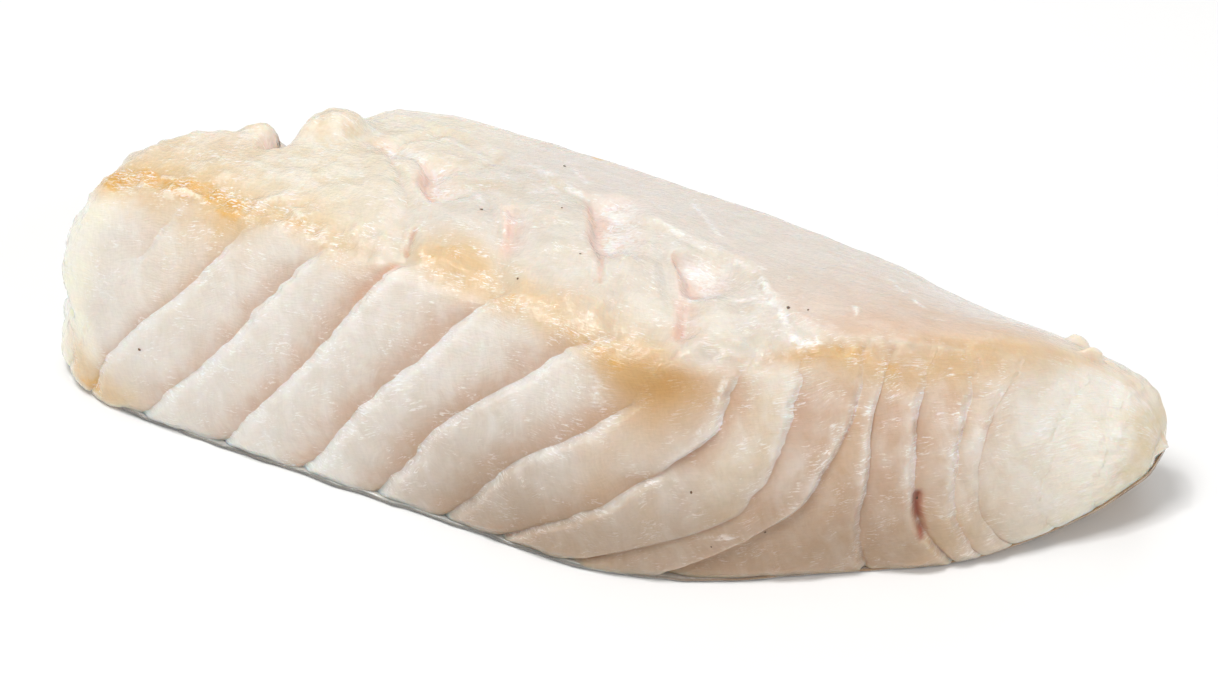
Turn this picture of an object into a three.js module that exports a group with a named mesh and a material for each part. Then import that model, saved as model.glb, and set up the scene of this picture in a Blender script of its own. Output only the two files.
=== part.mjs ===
// A cooked sea bass fillet, skin side down: a thick loin with one steep side, cut across at one
// end and tapering to a blunt tip at the other. The flesh parts into slanting flakes that bend
// into chevrons over the ridge. A thin skin lies under it and shows as a line round the foot.
// Millimetres, +Z up. +X points from the thick end to the tip, and -Y is the steep side.
// The origin is the centre of the base, where the skin rests.
import * as THREE from "three";

// Driving dimensions: the skin, and where the flesh ends at the tip
const TIP_X = 75;
const SKIN_THICKNESS = 0.9;
const SKIN_GAP = 0.3;
const SKIN_OVERHANG = 0.9;

// Outlines along the fillet, each a smooth curve through [x, size]
const NEAR_EDGE_Y = [[-82, -25.5], [-78, -29], [-72, -32], [-65, -33], [-47, -32.3], [-10, -30.4],
  [10, -29.5], [24, -24.8], [41, -14.2], [58, -2], [68, 8.5], [75, 16.5]];
const FAR_EDGE_Y = [[-82, 25], [-57, 29], [-36, 31.5], [0, 32], [50, 31], [65, 29],
  [71, 27.8], [75, 26.5]];
const RIDGE_Y = [[-82, -16], [-74, -18], [-55, -17], [-30, -18.5], [0, -17], [9, -18], [20, -14.5],
  [37, -1.7], [56, 12.5], [63, 18.5], [70, 21.5], [75, 22]];
const RIDGE_Z = [[-82, 28.5], [-60, 30.4], [-30, 32.5], [0, 33], [12, 31.5], [37, 30],
  [56, 26], [62, 23], [70, 18.8], [75, 15.8]];
const SHOULDER_Z = [[-82, 18.5], [-57, 21], [-42, 21.7], [-14, 22.2], [25, 21.3], [50, 18],
  [65, 18], [72, 17], [75, 15]];
const EDGE_LIFT = [[-82, 2.5], [-68, 0.8], [-50, 0], [52, 0], [64, 1.8], [70, 4.2], [75, 7.5]];

// The thick end is cut on the slant: its x goes round the section with v, as sectionPoint tells
const THICK_END = [[-2.5, -79], [-2.4, -80.5], [-2.3, -80.5], [-2, -75], [-1.7, -65],
  [-1.5, -58.5], [-1, -57], [-0.72, -57], [-0.6, -57.2], [-0.535, -58.2], [-0.5, -63],
  [-0.45, -67.5], [-0.4, -71], [-0.3, -75.5], [-0.15, -78.2], [0, -78.3], [0.25, -80.4],
  [0.5, -82.4], [0.62, -82.4], [0.72, -79.4], [0.82, -79.2], [0.89, -82.3], [0.94, -83],
  [1, -79.5]];
const THICK_END_BULGE = 1.8;
const THICK_END_ROUND = 6;
const TIP_BULGE = 1.5;
const TIP_ROUND = 5;
const END_INSET_SHARE = 0.7;
const LEAST_HALF_SIZE = 9;
const CAP_RINGS = [0.85, 0.6, 0.3];

// Section shape, as shares of the section's width or of the height of its sides
const SHOULDER_SHARE = 0.05;
const FOOT_SWELL = 0.16;
const RIDGE_TURN = 0.3;
const TOP_CROWN = 0.05;

// Flake boundaries, from the thick end to the tip. near gives their x on the steep side, at the
// ridge, a third and two thirds of the way down, and at the foot. top gives their x a little past
// the middle of the top, and at its far shoulder. At a boundary that rises, the flake behind it
// stands out over the one before, and at one that falls it is the other way.
const BOUNDARIES = [
  { near: [-35, -42.3, -51.5, -61.5], top: [-48, -48.5], depth: 0.9, step: "rises" },
  { near: [-25, -30, -38.5, -48], top: [-43.5, -38.5], depth: 1.0, step: "rises" },
  { near: [-9, -16.5, -26, -34.5], top: [-29, -27], depth: 1.1, step: "rises" },
  { near: [8, -1.5, -14, -22], top: [-10, -15], depth: 1.1, step: "rises" },
  { near: [18, 12.5, -0.5, -11], top: [1, -3], depth: 1.1, step: "rises" },
  { near: [26.5, 25.5, 14.5, -2], top: [13, 8], depth: 1.0, step: "falls" },
  { near: [32, 33.5, 31, 8], top: [20, 16], depth: 1.1, step: "falls" },
  { near: [38.5, 40.5, 37.5, 22], top: [27, 24], depth: 1.2, step: "falls" },
  { near: [42, 42.5, 44.5, 46], top: [33, 31], depth: 1.3, step: "falls" },
  { near: [46.5, 48, 50, 56], top: [40, 38], depth: 1.4, step: "falls" },
  { near: [52, 53, 54.5, 59], top: [47, 45], depth: 1.1, step: "falls" },
  { near: [57, 56, 57, 62], top: [56, 54], depth: 0.8, step: "falls" },
  { near: [65, 64, 64, 66.5], top: [62.5, 61.5], depth: 0.3, step: "falls" },
  { near: [70, 69.5, 69.5, 70.5], top: [69, 68], depth: 0.2, step: "falls" },
];
// Two more squeeze in between the thick end and the first of them, at these shares of the way
const SQUEEZED = [
  { onRidge: 0.38, atFoot: 0.12, depth: 0.5, step: "rises" },
  { onRidge: 0.7, atFoot: 0.45, depth: 0.7, step: "rises" },
];
const TOP_MIDDLE_V = -0.55;

// A flake's profile, as shares of the depth of its boundaries. Flakes narrower than the full
// width are shallower.
const PROUD_EDGE = 0.55;
const LOW_EDGE = -0.6;
const FLAKE_BELLY = 0.3;
const GROOVE_SHARE = 0.12;
const TOP_DEPTH = 0.8;
const FAR_SIDE_DEPTH = 0.9;
const FULL_DEPTH_WIDTH = 6;

// The crest, where the flaked part of the top meets the smooth slope: v along x, and its step
const CREST_V = [[-82, -0.9], [-40, -0.8], [-24, -0.68], [0, -0.57], [14, -0.56], [24, -0.33],
  [35, -0.08], [50, -0.02]];
const CREST_STEP = 0.6;
const CREST_WIDTH = 0.05;
const CREST_REACH = 0.35;

// Pits between the flakes: place on the surface, half length along x and half width in v
const PITS = [
  { x: -60, v: -0.47, halfX: 2.0, halfV: 0.09, depth: 4.3 },
  { x: -45, v: -0.56, halfX: 5.5, halfV: 0.04, depth: 1.2 },
  { x: -31.5, v: -0.41, halfX: 4.2, halfV: 0.07, depth: 1.7 },
  { x: -18.5, v: -0.44, halfX: 3.4, halfV: 0.06, depth: 1.3 },
  { x: -14, v: -0.24, halfX: 1.8, halfV: 0.08, depth: 1.1 },
  { x: -5, v: -0.46, halfX: 4.0, halfV: 0.1, depth: 2 },
  { x: 9.5, v: -0.41, halfX: 3.0, halfV: 0.08, depth: 1.7 },
  { x: 15.5, v: -0.13, halfX: 1.8, halfV: 0.09, depth: 1.4 },
  { x: 53, v: 0.8, halfX: 1.3, halfV: 0.13, depth: 1.6 },
];

// Humps of the thick end's two blocks, on either side of the first pit
const HUMPS = [
  { x: -63.5, v: -0.46, halfX: 2.4, halfV: 0.05, height: 1.4 },
  { x: -54.5, v: -0.6, halfX: 4.5, halfV: 0.14, height: 3.1 },
];

// Unevenness: soft swells all over, and crags along the ridge and round the thick end
const SWELL = { size: 14, height: 0.45 };
const CRAG = { size: 4.5, height: 0.9 };
const NOISE_SEED = 7;

// How finely the surface is divided: shares of a flake's width, and rows round the section
const FLAKE_STEPS = [0, 0.08, 0.2, 0.45, 0.72, 0.92];
const FLESH_ROWS = { near: 19, top: 20, far: 5, base: 8 };
const SKIN_COLUMNS = 44;
const SKIN_ROWS = 12;

const FLESH_COLOUR = "#efdcc4";
const SKIN_COLOUR = "#77736a";

const { clamp, lerp: mix } = THREE.MathUtils;

// A ramp from 0 at x = from to 1 at x = to, either way round
function ramp(from, to, x) {
  const t = clamp((x - from) / (to - from), 0, 1);
  return t * t * (3 - 2 * t);
}

function hermite(t, p0, m0, p1, m1) {
  const s = 1 - t;
  return (1 + 2 * t) * s * s * p0 + t * s * s * m0 + t * t * (3 - 2 * t) * p1 - t * t * s * m1;
}

// The value at x of a smooth curve through [x, value] points that never overshoots them
function curveAt(points, x) {
  const last = points.length - 1;
  const at = clamp(x, points[0][0], points[last][0]);
  let i = 0;
  while (i < last - 1 && at > points[i + 1][0]) i += 1;
  const width = (k) => points[k + 1][0] - points[k][0];
  const slope = (k) => (points[k + 1][1] - points[k][1]) / width(k);
  const tangent = (k) => {
    if (k === 0) return slope(0);
    if (k === last) return slope(last - 1);
    const [before, after] = [slope(k - 1), slope(k)];
    if (before * after <= 0) return 0;
    const [w1, w2] = [2 * width(k) + width(k - 1), width(k) + 2 * width(k - 1)];
    return (w1 + w2) / (w1 / before + w2 / after);
  };
  const t = (at - points[i][0]) / width(i);
  return hermite(t, points[i][1], width(i) * tangent(i), points[i + 1][1], width(i) * tangent(i + 1));
}

// A repeatable random number from 0 to 1 for each corner of a lattice
function latticeValue(i, j, k) {
  const n = Math.sin(i * 127.1 + j * 311.7 + k * 74.7 + NOISE_SEED * 53.3) * 43758.5453;
  return n - Math.floor(n);
}

// Smooth noise from -1 to 1 at a point, with bumps of about the given size
function noise(p, size) {
  const q = [p.x / size, p.y / size, p.z / size];
  const base = q.map(Math.floor);
  const part = q.map((c, k) => ramp(0, 1, c - base[k]));
  let sum = 0;
  for (let corner = 0; corner < 8; corner += 1) {
    const bits = [corner & 1, (corner >> 1) & 1, corner >> 2];
    const weight = bits.reduce((w, bit, k) => w * (bit ? part[k] : 1 - part[k]), 1);
    sum += weight * latticeValue(base[0] + bits[0], base[1] + bits[1], base[2] + bits[2]);
  }
  return 2 * sum - 1;
}

// Height of the skin's underside at x, a share s of the way from the near edge to the far one.
// Its edges lift more than its middle, except near the tip.
function skinBottom(x, s) {
  const middleLift = mix(0.35, 0.95, ramp(62, TIP_X, x));
  return curveAt(EDGE_LIFT, x) * mix(middleLift, 1, Math.abs(2 * s - 1) ** 3);
}

// The section's outline at x, as [y, z]. v is 1 at the near foot, 0 on the ridge, -1 on the far
// shoulder, -1.5 at the far foot and -2.5 back at the near foot, under the flesh.
function sectionPoint(x, v) {
  const nearY = curveAt(NEAR_EDGE_Y, x);
  const farY = curveAt(FAR_EDGE_Y, x);
  const width = farY - nearY;
  const base = (s) => skinBottom(x, s) + SKIN_THICKNESS + SKIN_GAP;
  if (v < -1.5) {
    const s = 2.5 + v;
    return [mix(nearY, farY, s), base(s)];
  }
  const near = [nearY, base(0)];
  const far = [farY, base(1)];
  const ridge = [curveAt(RIDGE_Y, x), curveAt(RIDGE_Z, x)];
  const shoulder = [farY - SHOULDER_SHARE * width, curveAt(SHOULDER_Z, x)];
  const between = (t, p0, m0, p1, m1) => [0, 1].map((k) => hermite(t, p0[k], m0[k], p1[k], m1[k]));
  if (v >= 0) {
    const rise = ridge[1] - near[1];
    const up = [-FOOT_SWELL * rise, rise];
    const over = [0.9 * (ridge[0] - near[0]) + TOP_CROWN * width, RIDGE_TURN * rise];
    return between(1 - v, near, up, ridge, over);
  }
  if (v >= -1) {
    const run = shoulder[0] - ridge[0];
    const fall = ridge[1] - shoulder[1];
    const off = [run, 0.35 * fall + TOP_CROWN * width];
    const down = [0.8 * run, -1.3 * fall - TOP_CROWN * width];
    return between(-v, ridge, off, shoulder, down);
  }
  const farRise = shoulder[1] - far[1];
  const out = [0.08 * width, -0.9 * farRise];
  const back = [-0.08 * width, -0.8 * farRise];
  return between((-1 - v) / 0.5, shoulder, out, far, back);
}

// How far the section is drawn in at x, to round the two ends
function endInset(x, v) {
  const quarter = (distance, radius) => {
    const left = 1 - clamp(distance / radius, 0, 1);
    return radius * (1 - Math.sqrt(1 - left * left));
  };
  const thickEnd = quarter(x - curveAt(THICK_END, v), THICK_END_ROUND);
  return END_INSET_SHARE * (thickEnd + quarter(TIP_X - x, TIP_ROUND));
}

// The smooth form of the fillet at x and v, before its flakes
function surfacePoint(x, v) {
  const [y, z] = sectionPoint(x, v);
  const nearY = curveAt(NEAR_EDGE_Y, x);
  const farY = curveAt(FAR_EDGE_Y, x);
  const middleY = (nearY + farY) / 2;
  const middleZ = 0.45 * curveAt(RIDGE_Z, x);
  const inset = endInset(x, v);
  const drawnY = 1 - inset / Math.max((farY - nearY) / 2, LEAST_HALF_SIZE);
  const drawnZ = 1 - inset / Math.max(middleZ, LEAST_HALF_SIZE);
  const footStays = mix(1, drawnZ, ramp(0, middleZ, z));
  return new THREE.Vector3(x, mix(middleY, y, drawnY), mix(middleZ, z, footStays));
}

// x of a flake boundary at v: a chevron with its point on the ridge
function boundaryX({ near, top }, v) {
  if (v >= 0) return curveAt(near.map((x, k) => [k / 3, x]), v);
  if (v >= TOP_MIDDLE_V) return mix(near[0], top[0], (v / TOP_MIDDLE_V) ** 1.3);
  if (v >= -1) return mix(top[0], top[1], ramp(TOP_MIDDLE_V, -1, v));
  return mix(top[1], near[3], clamp(-v - 1.5, 0, 1));
}

// x of every flake boundary at v, the two ends included
function boundariesAt(v) {
  const end = curveAt(THICK_END, v);
  const first = boundaryX(BOUNDARIES[0], v);
  const down = v >= 0 ? v : clamp(-v - 1.5, 0, 1);
  const squeezed = SQUEEZED.map((b) => mix(end, first, mix(b.onRidge, b.atFoot, down)));
  return [end, ...squeezed, ...BOUNDARIES.map((b) => boundaryX(b, v)), TIP_X];
}

const ENDS = { thick: { depth: 0.6, step: "rises" }, tip: { depth: 0.3, step: "falls" } };
const GROOVES = [ENDS.thick, ...SQUEEZED, ...BOUNDARIES, ENDS.tip];
const FLAKES = GROOVES.length - 1;

// A flake's height at share t of its width, between edges of the given heights. It drops into a
// narrow groove at each edge.
function flakeProfile(t, leftEdge, rightEdge) {
  const inFlake = ramp(0, GROOVE_SHARE, t) * ramp(0, GROOVE_SHARE, 1 - t);
  const across = mix(leftEdge, rightEdge, t);
  return mix(LOW_EDGE, across, inFlake) + FLAKE_BELLY * (1 - (2 * t - 1) ** 2);
}

// How far flake i stands in or out of the smooth form at share t of its width
function flakeRelief(i, t, x, v) {
  if (v < -1.5) return 0;
  const [before, after] = [GROOVES[i], GROOVES[i + 1]];
  const leftEdge = before.step === "rises" ? PROUD_EDGE : LOW_EDGE;
  const rightEdge = after.step === "falls" ? PROUD_EDGE : LOW_EDGE;
  const depth = mix(before.depth, after.depth, t);
  const near = depth * flakeProfile(t, leftEdge, rightEdge);
  const block = flakeProfile(t, PROUD_EDGE, PROUD_EDGE / 2);
  const crest = curveAt(CREST_V, x);
  const flaked = ramp(crest - 0.04, crest + 0.06, v);
  const onFarSide = ramp(-1, -1.12, v) * ramp(-1.5, -1.4, v);
  const top = (TOP_DEPTH * flaked + FAR_SIDE_DEPTH * onFarSide) * block;
  return mix(top, near, ramp(-0.06, 0.08, v));
}

// The raised edge of the smooth slope behind the crest
function crestRelief(x, v) {
  if (v >= 0 || v < -1.4) return 0;
  const past = curveAt(CREST_V, x) - v;
  const along = ramp(40, 30, x) * ramp(-60, -45, x);
  return along * CREST_STEP * ramp(-CREST_WIDTH, CREST_WIDTH, past) * ramp(CREST_REACH, 0, past);
}

// How much of a pit or a hump is felt at x and v: 1 in its middle
function shareOf(spot, x, v) {
  const away = ((x - spot.x) / spot.halfX) ** 2 + ((v - spot.v) / spot.halfV) ** 2;
  return Math.exp(-(away ** 1.5));
}

function spotRelief(x, v) {
  const down = PITS.reduce((sum, pit) => sum + pit.depth * shareOf(pit, x, v), 0);
  const up = HUMPS.reduce((sum, hump) => sum + hump.height * shareOf(hump, x, v), 0);
  return up - down;
}

// Soft swells, and the crags of the ridge and the thick end
function unevenness(p, v) {
  const onRidge = Math.exp(-(((v + 0.03) / 0.13) ** 2));
  const atEnd = 0.8 * ramp(10, 0, p.x - curveAt(THICK_END, v));
  return SWELL.height * noise(p, SWELL.size) + Math.max(onRidge, atEnd) * CRAG.height * noise(p, CRAG.size);
}

// The flesh's surface at flake coordinate f, a whole number at each flake boundary
function fleshPoint(f, v) {
  const i = Math.min(Math.floor(f), FLAKES - 1);
  const t = f - i;
  const edges = boundariesAt(v);
  const x = mix(edges[i], edges[i + 1], t);
  const p = surfacePoint(x, v);
  if (v <= -1.5 || v === 1) return p;
  const [dx, dv] = [0.5, 0.01];
  const alongX = surfacePoint(x + dx, v).sub(surfacePoint(x - dx, v));
  const alongV = surfacePoint(x, v + dv).sub(surfacePoint(x, v - dv));
  const outward = alongV.cross(alongX).normalize();
  const crowding = Math.min((edges[i + 1] - edges[i]) / FULL_DEPTH_WIDTH, 1);
  const cut = crowding * flakeRelief(i, t, x, v) + crestRelief(x, v) + spotRelief(x, v);
  const height = cut + unevenness(p, v);
  const atEnds = ramp(TIP_X, TIP_X - 4, x) * mix(0.5, 1, ramp(0, 2, x - edges[0]));
  return p.addScaledVector(outward, height * atEnds * ramp(1, 0.94, v) * ramp(-1.5, -1.4, v));
}

function geometryOf(points, index) {
  const geometry = new THREE.BufferGeometry();
  geometry.setFromPoints(points);
  geometry.setIndex(index);
  geometry.computeVertexNormals();
  return geometry;
}

// One closed body from a list of rings of points, with a single point at each end
function closedLoft(firstPoint, rings, lastPoint) {
  const count = rings[0].length;
  const index = [];
  const at = (i, j) => 1 + i * count + (j % count);
  const last = rings.length - 1;
  for (let j = 0; j < count; j += 1) {
    for (let i = 0; i < last; i += 1) {
      index.push(at(i, j), at(i + 1, j), at(i + 1, j + 1), at(i, j), at(i + 1, j + 1), at(i, j + 1));
    }
    index.push(0, at(0, j), at(0, j + 1), at(last, j), 1 + rings.length * count, at(last, j + 1));
  }
  return geometryOf([firstPoint, ...rings.flat(), lastPoint], index);
}

// Rings that round off an end: the ring shrinks towards its middle, which bulges out along X
function capRings(ring, bulge) {
  const middle = new THREE.Vector3();
  ring.forEach((p) => middle.addScaledVector(p, 1 / ring.length));
  const bulged = (p, share) => p.setX(p.x + bulge * (1 - share ** 2));
  const rings = CAP_RINGS.map((share) => ring.map((p) => bulged(middle.clone().lerp(p, share), share)));
  return { rings, middle: bulged(middle, 0) };
}

// The values of v round one ring, from the near foot over the top to the far foot and back
function ringOfV() {
  const { near, top, far, base } = FLESH_ROWS;
  const spans = [[1, 0, near], [0, -1, top], [-1, -1.5, far], [-1.5, -2.5, base]];
  return spans.flatMap(([from, to, steps]) =>
    Array.from({ length: steps }, (_, k) => mix(from, to, k / steps)));
}

function fleshGeometry() {
  const vs = ringOfV();
  const fs = Array.from({ length: FLAKES }, (_, i) => FLAKE_STEPS.map((t) => i + t)).flat();
  const rings = [...fs, FLAKES].map((f) => vs.map((v) => fleshPoint(f, v)));
  const thick = capRings(rings[0], -THICK_END_BULGE);
  const tip = capRings(rings[rings.length - 1], TIP_BULGE);
  const all = [...thick.rings.reverse(), ...rings, ...tip.rings];
  return closedLoft(thick.middle, all, tip.middle);
}

// The skin: a thin sheet under the flesh, which stands out a little all round the foot
function skinGeometry() {
  const columns = SKIN_COLUMNS + 1;
  const rows = SKIN_ROWS + 1;
  const [top, bottom] = [[], []];
  for (let i = 0; i < columns; i += 1) {
    for (let j = 0; j < rows; j += 1) {
      const u = i / SKIN_COLUMNS;
      const s = j / SKIN_ROWS;
      const fleshX = mix(curveAt(THICK_END, s - 2.5), TIP_X, u);
      const halfWidth = (curveAt(FAR_EDGE_Y, fleshX) - curveAt(NEAR_EDGE_Y, fleshX)) / 2;
      const middleY = curveAt(NEAR_EDGE_Y, fleshX) + halfWidth;
      const { y } = surfacePoint(fleshX, s - 2.5);
      const p = new THREE.Vector3(fleshX, mix(middleY, y, 1 + SKIN_OVERHANG / halfWidth), 0);
      p.x += SKIN_OVERHANG * (2 * u - 1) ** 3;
      p.z = skinBottom(fleshX, s);
      bottom.push(p);
      top.push(p.clone().setZ(p.z + SKIN_THICKNESS));
    }
  }
  const index = [];
  const upper = (i, j) => i * rows + j;
  const lower = (i, j) => upper(i, j) + columns * rows;
  const quad = (a, b, c, d) => index.push(a, b, c, a, c, d);
  for (let i = 0; i < SKIN_COLUMNS; i += 1) {
    for (let j = 0; j < SKIN_ROWS; j += 1) {
      quad(upper(i, j), upper(i + 1, j), upper(i + 1, j + 1), upper(i, j + 1));
      quad(lower(i, j), lower(i, j + 1), lower(i + 1, j + 1), lower(i + 1, j));
    }
    quad(lower(i, 0), lower(i + 1, 0), upper(i + 1, 0), upper(i, 0));
    quad(upper(i, SKIN_ROWS), upper(i + 1, SKIN_ROWS), lower(i + 1, SKIN_ROWS), lower(i, SKIN_ROWS));
  }
  const tip = SKIN_COLUMNS;
  for (let j = 0; j < SKIN_ROWS; j += 1) {
    quad(lower(0, j + 1), lower(0, j), upper(0, j), upper(0, j + 1));
    quad(lower(tip, j), lower(tip, j + 1), upper(tip, j + 1), upper(tip, j));
  }
  return geometryOf([...top, ...bottom], index);
}

function piece(name, geometry, colour, roughness) {
  const material = new THREE.MeshStandardMaterial({ color: colour, roughness, metalness: 0 });
  const mesh = new THREE.Mesh(geometry, material);
  mesh.name = name;
  return mesh;
}

const fillet = new THREE.Group();
fillet.add(piece("flesh", fleshGeometry(), FLESH_COLOUR, 0.45));
fillet.add(piece("skin", skinGeometry(), SKIN_COLOUR, 0.35));

// The origin goes to the centre of the base
const box = new THREE.Box3().setFromObject(fillet);
const centre = box.getCenter(new THREE.Vector3());
fillet.position.set(-centre.x, -centre.y, -box.min.z);

export default fillet;
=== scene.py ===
"""The looks of a cooked sea bass fillet that lies skin side down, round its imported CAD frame.

The flesh and the skin are worked out here from the same named sizes as the CAD solids, in
millimetres, but much more finely: sharp flake edges, fibres, crags, films and specks. Points are
kept as arrays whose last axis is x, y, z. v goes round the fillet's section: 1 at the near foot,
0 on the ridge, -1 on the far shoulder, -1.5 at the far foot and -2.5 back at the near foot.
"""
import itertools
import math
from types import SimpleNamespace

import bmesh
import bpy
import numpy as np
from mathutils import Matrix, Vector


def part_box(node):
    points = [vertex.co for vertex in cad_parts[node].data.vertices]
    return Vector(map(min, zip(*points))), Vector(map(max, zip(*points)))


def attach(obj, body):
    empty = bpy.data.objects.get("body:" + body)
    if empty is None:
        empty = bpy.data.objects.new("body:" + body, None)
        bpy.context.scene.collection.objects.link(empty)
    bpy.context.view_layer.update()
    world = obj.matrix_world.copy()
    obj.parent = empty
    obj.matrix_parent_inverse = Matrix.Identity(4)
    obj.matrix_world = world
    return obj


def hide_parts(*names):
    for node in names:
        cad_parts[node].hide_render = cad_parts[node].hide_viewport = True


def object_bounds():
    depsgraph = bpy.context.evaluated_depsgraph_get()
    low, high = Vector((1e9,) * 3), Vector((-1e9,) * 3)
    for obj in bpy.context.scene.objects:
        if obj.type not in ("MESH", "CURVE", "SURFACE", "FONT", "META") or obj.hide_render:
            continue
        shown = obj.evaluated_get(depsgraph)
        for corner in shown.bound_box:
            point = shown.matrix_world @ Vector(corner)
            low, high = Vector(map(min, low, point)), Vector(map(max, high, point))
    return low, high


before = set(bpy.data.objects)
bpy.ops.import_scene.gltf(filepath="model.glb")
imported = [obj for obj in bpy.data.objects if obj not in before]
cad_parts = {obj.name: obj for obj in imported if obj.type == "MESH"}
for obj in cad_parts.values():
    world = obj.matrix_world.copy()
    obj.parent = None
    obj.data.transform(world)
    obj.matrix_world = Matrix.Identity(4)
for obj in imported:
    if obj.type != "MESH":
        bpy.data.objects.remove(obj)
CAD_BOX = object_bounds()

MM = 0.001

# The camera: where it looks, in the fillet's own millimetres, from where, and how near and how
# far it sees, in metres
LOOK_AT = (-1.5, 0.0, 13.0)
VIEW_AZIMUTH = 29.0
VIEW_ELEVATION = 40.0
VIEW_DISTANCE = 489.0
LENS = 100.0
SENSOR_WIDTH = 36.0
NEAREST_SEEN = 0.01
FURTHEST_SEEN = 20.0

# The studio: each lamp's name, place, width in millimetres and power, and what they all aim at
LAMPS = [
    ("key", (-120, -130, 690), 280, 2.4), ("near_glints", (-290, -420, 380), 50, 0.2),
    ("top_glints", (-240, 430, 430), 50, 0.08), ("sparkle", (-160, -60, 640), 50, 0.4),
    ("side", (480, -160, 420), 260, 0.8), ("back", (-100, 620, 420), 300, 0.6),
]
LAMPS_AIM = (0, 0, 15)
WORLD_COLOUR = (1.0, 0.99, 0.97, 1.0)
WORLD_STRENGTH = 0.4
FLOOR_SIZE_M = 6.0

# The form of the fillet: each list is a smooth curve through (x, size), and the cut end's goes
# round the section through (v, x)
TIP_X = 75.0
SKIN_THICKNESS = 0.9
SKIN_OVERHANG = 0.9
NEAR_EDGE_Y = [(-82, -25.5), (-78, -29), (-72, -32), (-65, -33), (-47, -32.3), (-10, -30.4),
               (10, -29.5), (24, -24.8), (41, -14.2), (58, -2), (68, 8.5), (75, 16.5)]
FAR_EDGE_Y = [(-82, 25), (-57, 29), (-36, 31.5), (0, 32), (50, 31), (65, 29), (71, 27.8),
              (75, 26.5)]
RIDGE_Y = [(-82, -16), (-74, -18), (-55, -17), (-30, -18.5), (0, -17), (9, -18), (20, -14.5),
           (37, -1.7), (56, 12.5), (63, 18.5), (70, 21.5), (75, 22)]
RIDGE_Z = [(-82, 28.5), (-60, 30.4), (-30, 32.5), (0, 33), (12, 31.5), (37, 30), (56, 26),
           (62, 23), (70, 18.8), (75, 15.8)]
SHOULDER_Z = [(-82, 18.5), (-57, 21), (-42, 21.7), (-14, 22.2), (25, 21.3), (50, 18), (65, 18),
              (72, 17), (75, 15)]
EDGE_LIFT = [(-82, 2.5), (-68, 0.8), (-50, 0), (52, 0), (64, 1.8), (70, 4.2), (75, 7.5)]
THICK_END = [(-2.5, -79), (-2.4, -80.5), (-2.3, -80.5), (-2, -75), (-1.7, -65),
             (-1.5, -58.5), (-1, -57), (-0.72, -57), (-0.6, -57.2), (-0.535, -58.2), (-0.5, -63),
             (-0.45, -67.5), (-0.4, -71), (-0.3, -75.5), (-0.15, -78.2), (0, -78.3), (0.25, -80.4),
             (0.5, -82.4), (0.62, -82.4), (0.72, -79.4), (0.82, -79.2), (0.89, -82.3),
             (0.94, -83), (1, -79.5)]
THICK_END_BULGE = 1.0
THICK_END_ROUND = 6.0
TIP_BULGE = 1.5
TIP_ROUND = 5.0
END_INSET_SHARE = 0.7
LEAST_HALF_SIZE = 9.0
SHOULDER_SHARE = 0.05
FOOT_SWELL = 0.16
RIDGE_TURN = 0.3
TOP_CROWN = 0.05
RIDGE_ROUNDING = (-0.1, -0.05, 0, 0.05, 0.1)
MIDDLE_HEIGHT_SHARE = 0.45

# Flake boundaries: x on the steep side from the ridge to the foot, x on the top past its middle
# and at the far shoulder, the depth of the step, which way it steps at the ridge and at the foot
# (1 where the flake after it stands proud, 0 where the one before does), and how strongly it shows
# at the ridge and on the top
BOUNDARIES = [
    ((-60.5, -65, -71.5, -76.5), (-54.5, -54.5), 0.3, 1, 1, 0.2, 0),
    ((-48.5, -54.3, -64.5, -71.5), (-51.5, -51.5), 0.45, 1, 1, 0.3, 0),
    ((-35, -42.3, -51.5, -61.5), (-48, -48.5), 0.55, 1, 1, 0.4, 0.15),
    ((-25, -30, -38.5, -48), (-43.5, -38.5), 0.65, 1, 1, 1, 0.8),
    ((-9, -16.5, -26, -34.5), (-29, -27), 0.75, 1, 1, 0.5, 0.6),
    ((8, -1.5, -14, -22), (-10, -15), 0.75, 1, 1, 0.6, 0.5),
    ((18, 12.5, -0.5, -11), (1, -3), 0.75, 1, 1, 0.3, 0.6),
    ((26.5, 25.5, 14.5, -2), (13, 8), 0.7, 0, 1, 0.1, 0.4),
    ((32, 33.5, 31, 8), (20, 16), 0.8, 0, 0.3, 0.3, 0.3),
    ((38.5, 40.5, 37.5, 22), (27, 24), 0.75, 0, 0, 0.3, 0.2),
    ((42, 42.5, 44.5, 46), (33, 31), 0.85, 0, 0, 0.2, 0.1),
    ((46.5, 48, 50, 56), (40, 38), 0.9, 0, 0, 0.1, 0.1),
    ((52, 53, 54.5, 59), (47, 45), 0.6, 0, 0, 0.1, 0.1),
    ((57, 56, 57, 62), (56, 54), 0.22, 0, 0, 0.1, 0),
    ((65, 64, 64, 66.5), (62.5, 61.5), 0.1, 0, 0, 0.2, 0),
    ((70, 69.5, 69.5, 70.5), (69, 68), 0.05, 0, 0, 0.2, 0),
]
# The step's numbers at the two ends, the v where steps change their way, and the v of the top's
# middle
THICK_END_STEP = (0.4, 1, 1, 1, 0.5)
TIP_STEP = (0.05, 0, 0, 0.5, 0)
STEP_TURNS_V = 0.54
TOP_MIDDLE_V = -0.55
# How deep the blocks' grooves are on the top and the far side, and how wide a flake is that has
# its full depth
TOP_DEPTH = 0.65
FAR_SIDE_DEPTH = 0.9
FULL_DEPTH_WIDTH = 6.0
# Where the blocks on the top end at the bare far slope, and the low scarp there
CREST_V = [(-82, -0.9), (-40, -0.8), (-24, -0.68), (0, -0.57), (14, -0.56), (24, -0.33),
           (35, -0.08), (50, -0.02)]
CREST_STEP = 0.6
CREST_REACH = 0.35
# Pits between the flakes: x, v, half length along x, half width in v, depth
PITS = [
    (-60, -0.47, 2, 0.09, 4.3),
    (-45, -0.56, 5.5, 0.04, 1),
]
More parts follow.
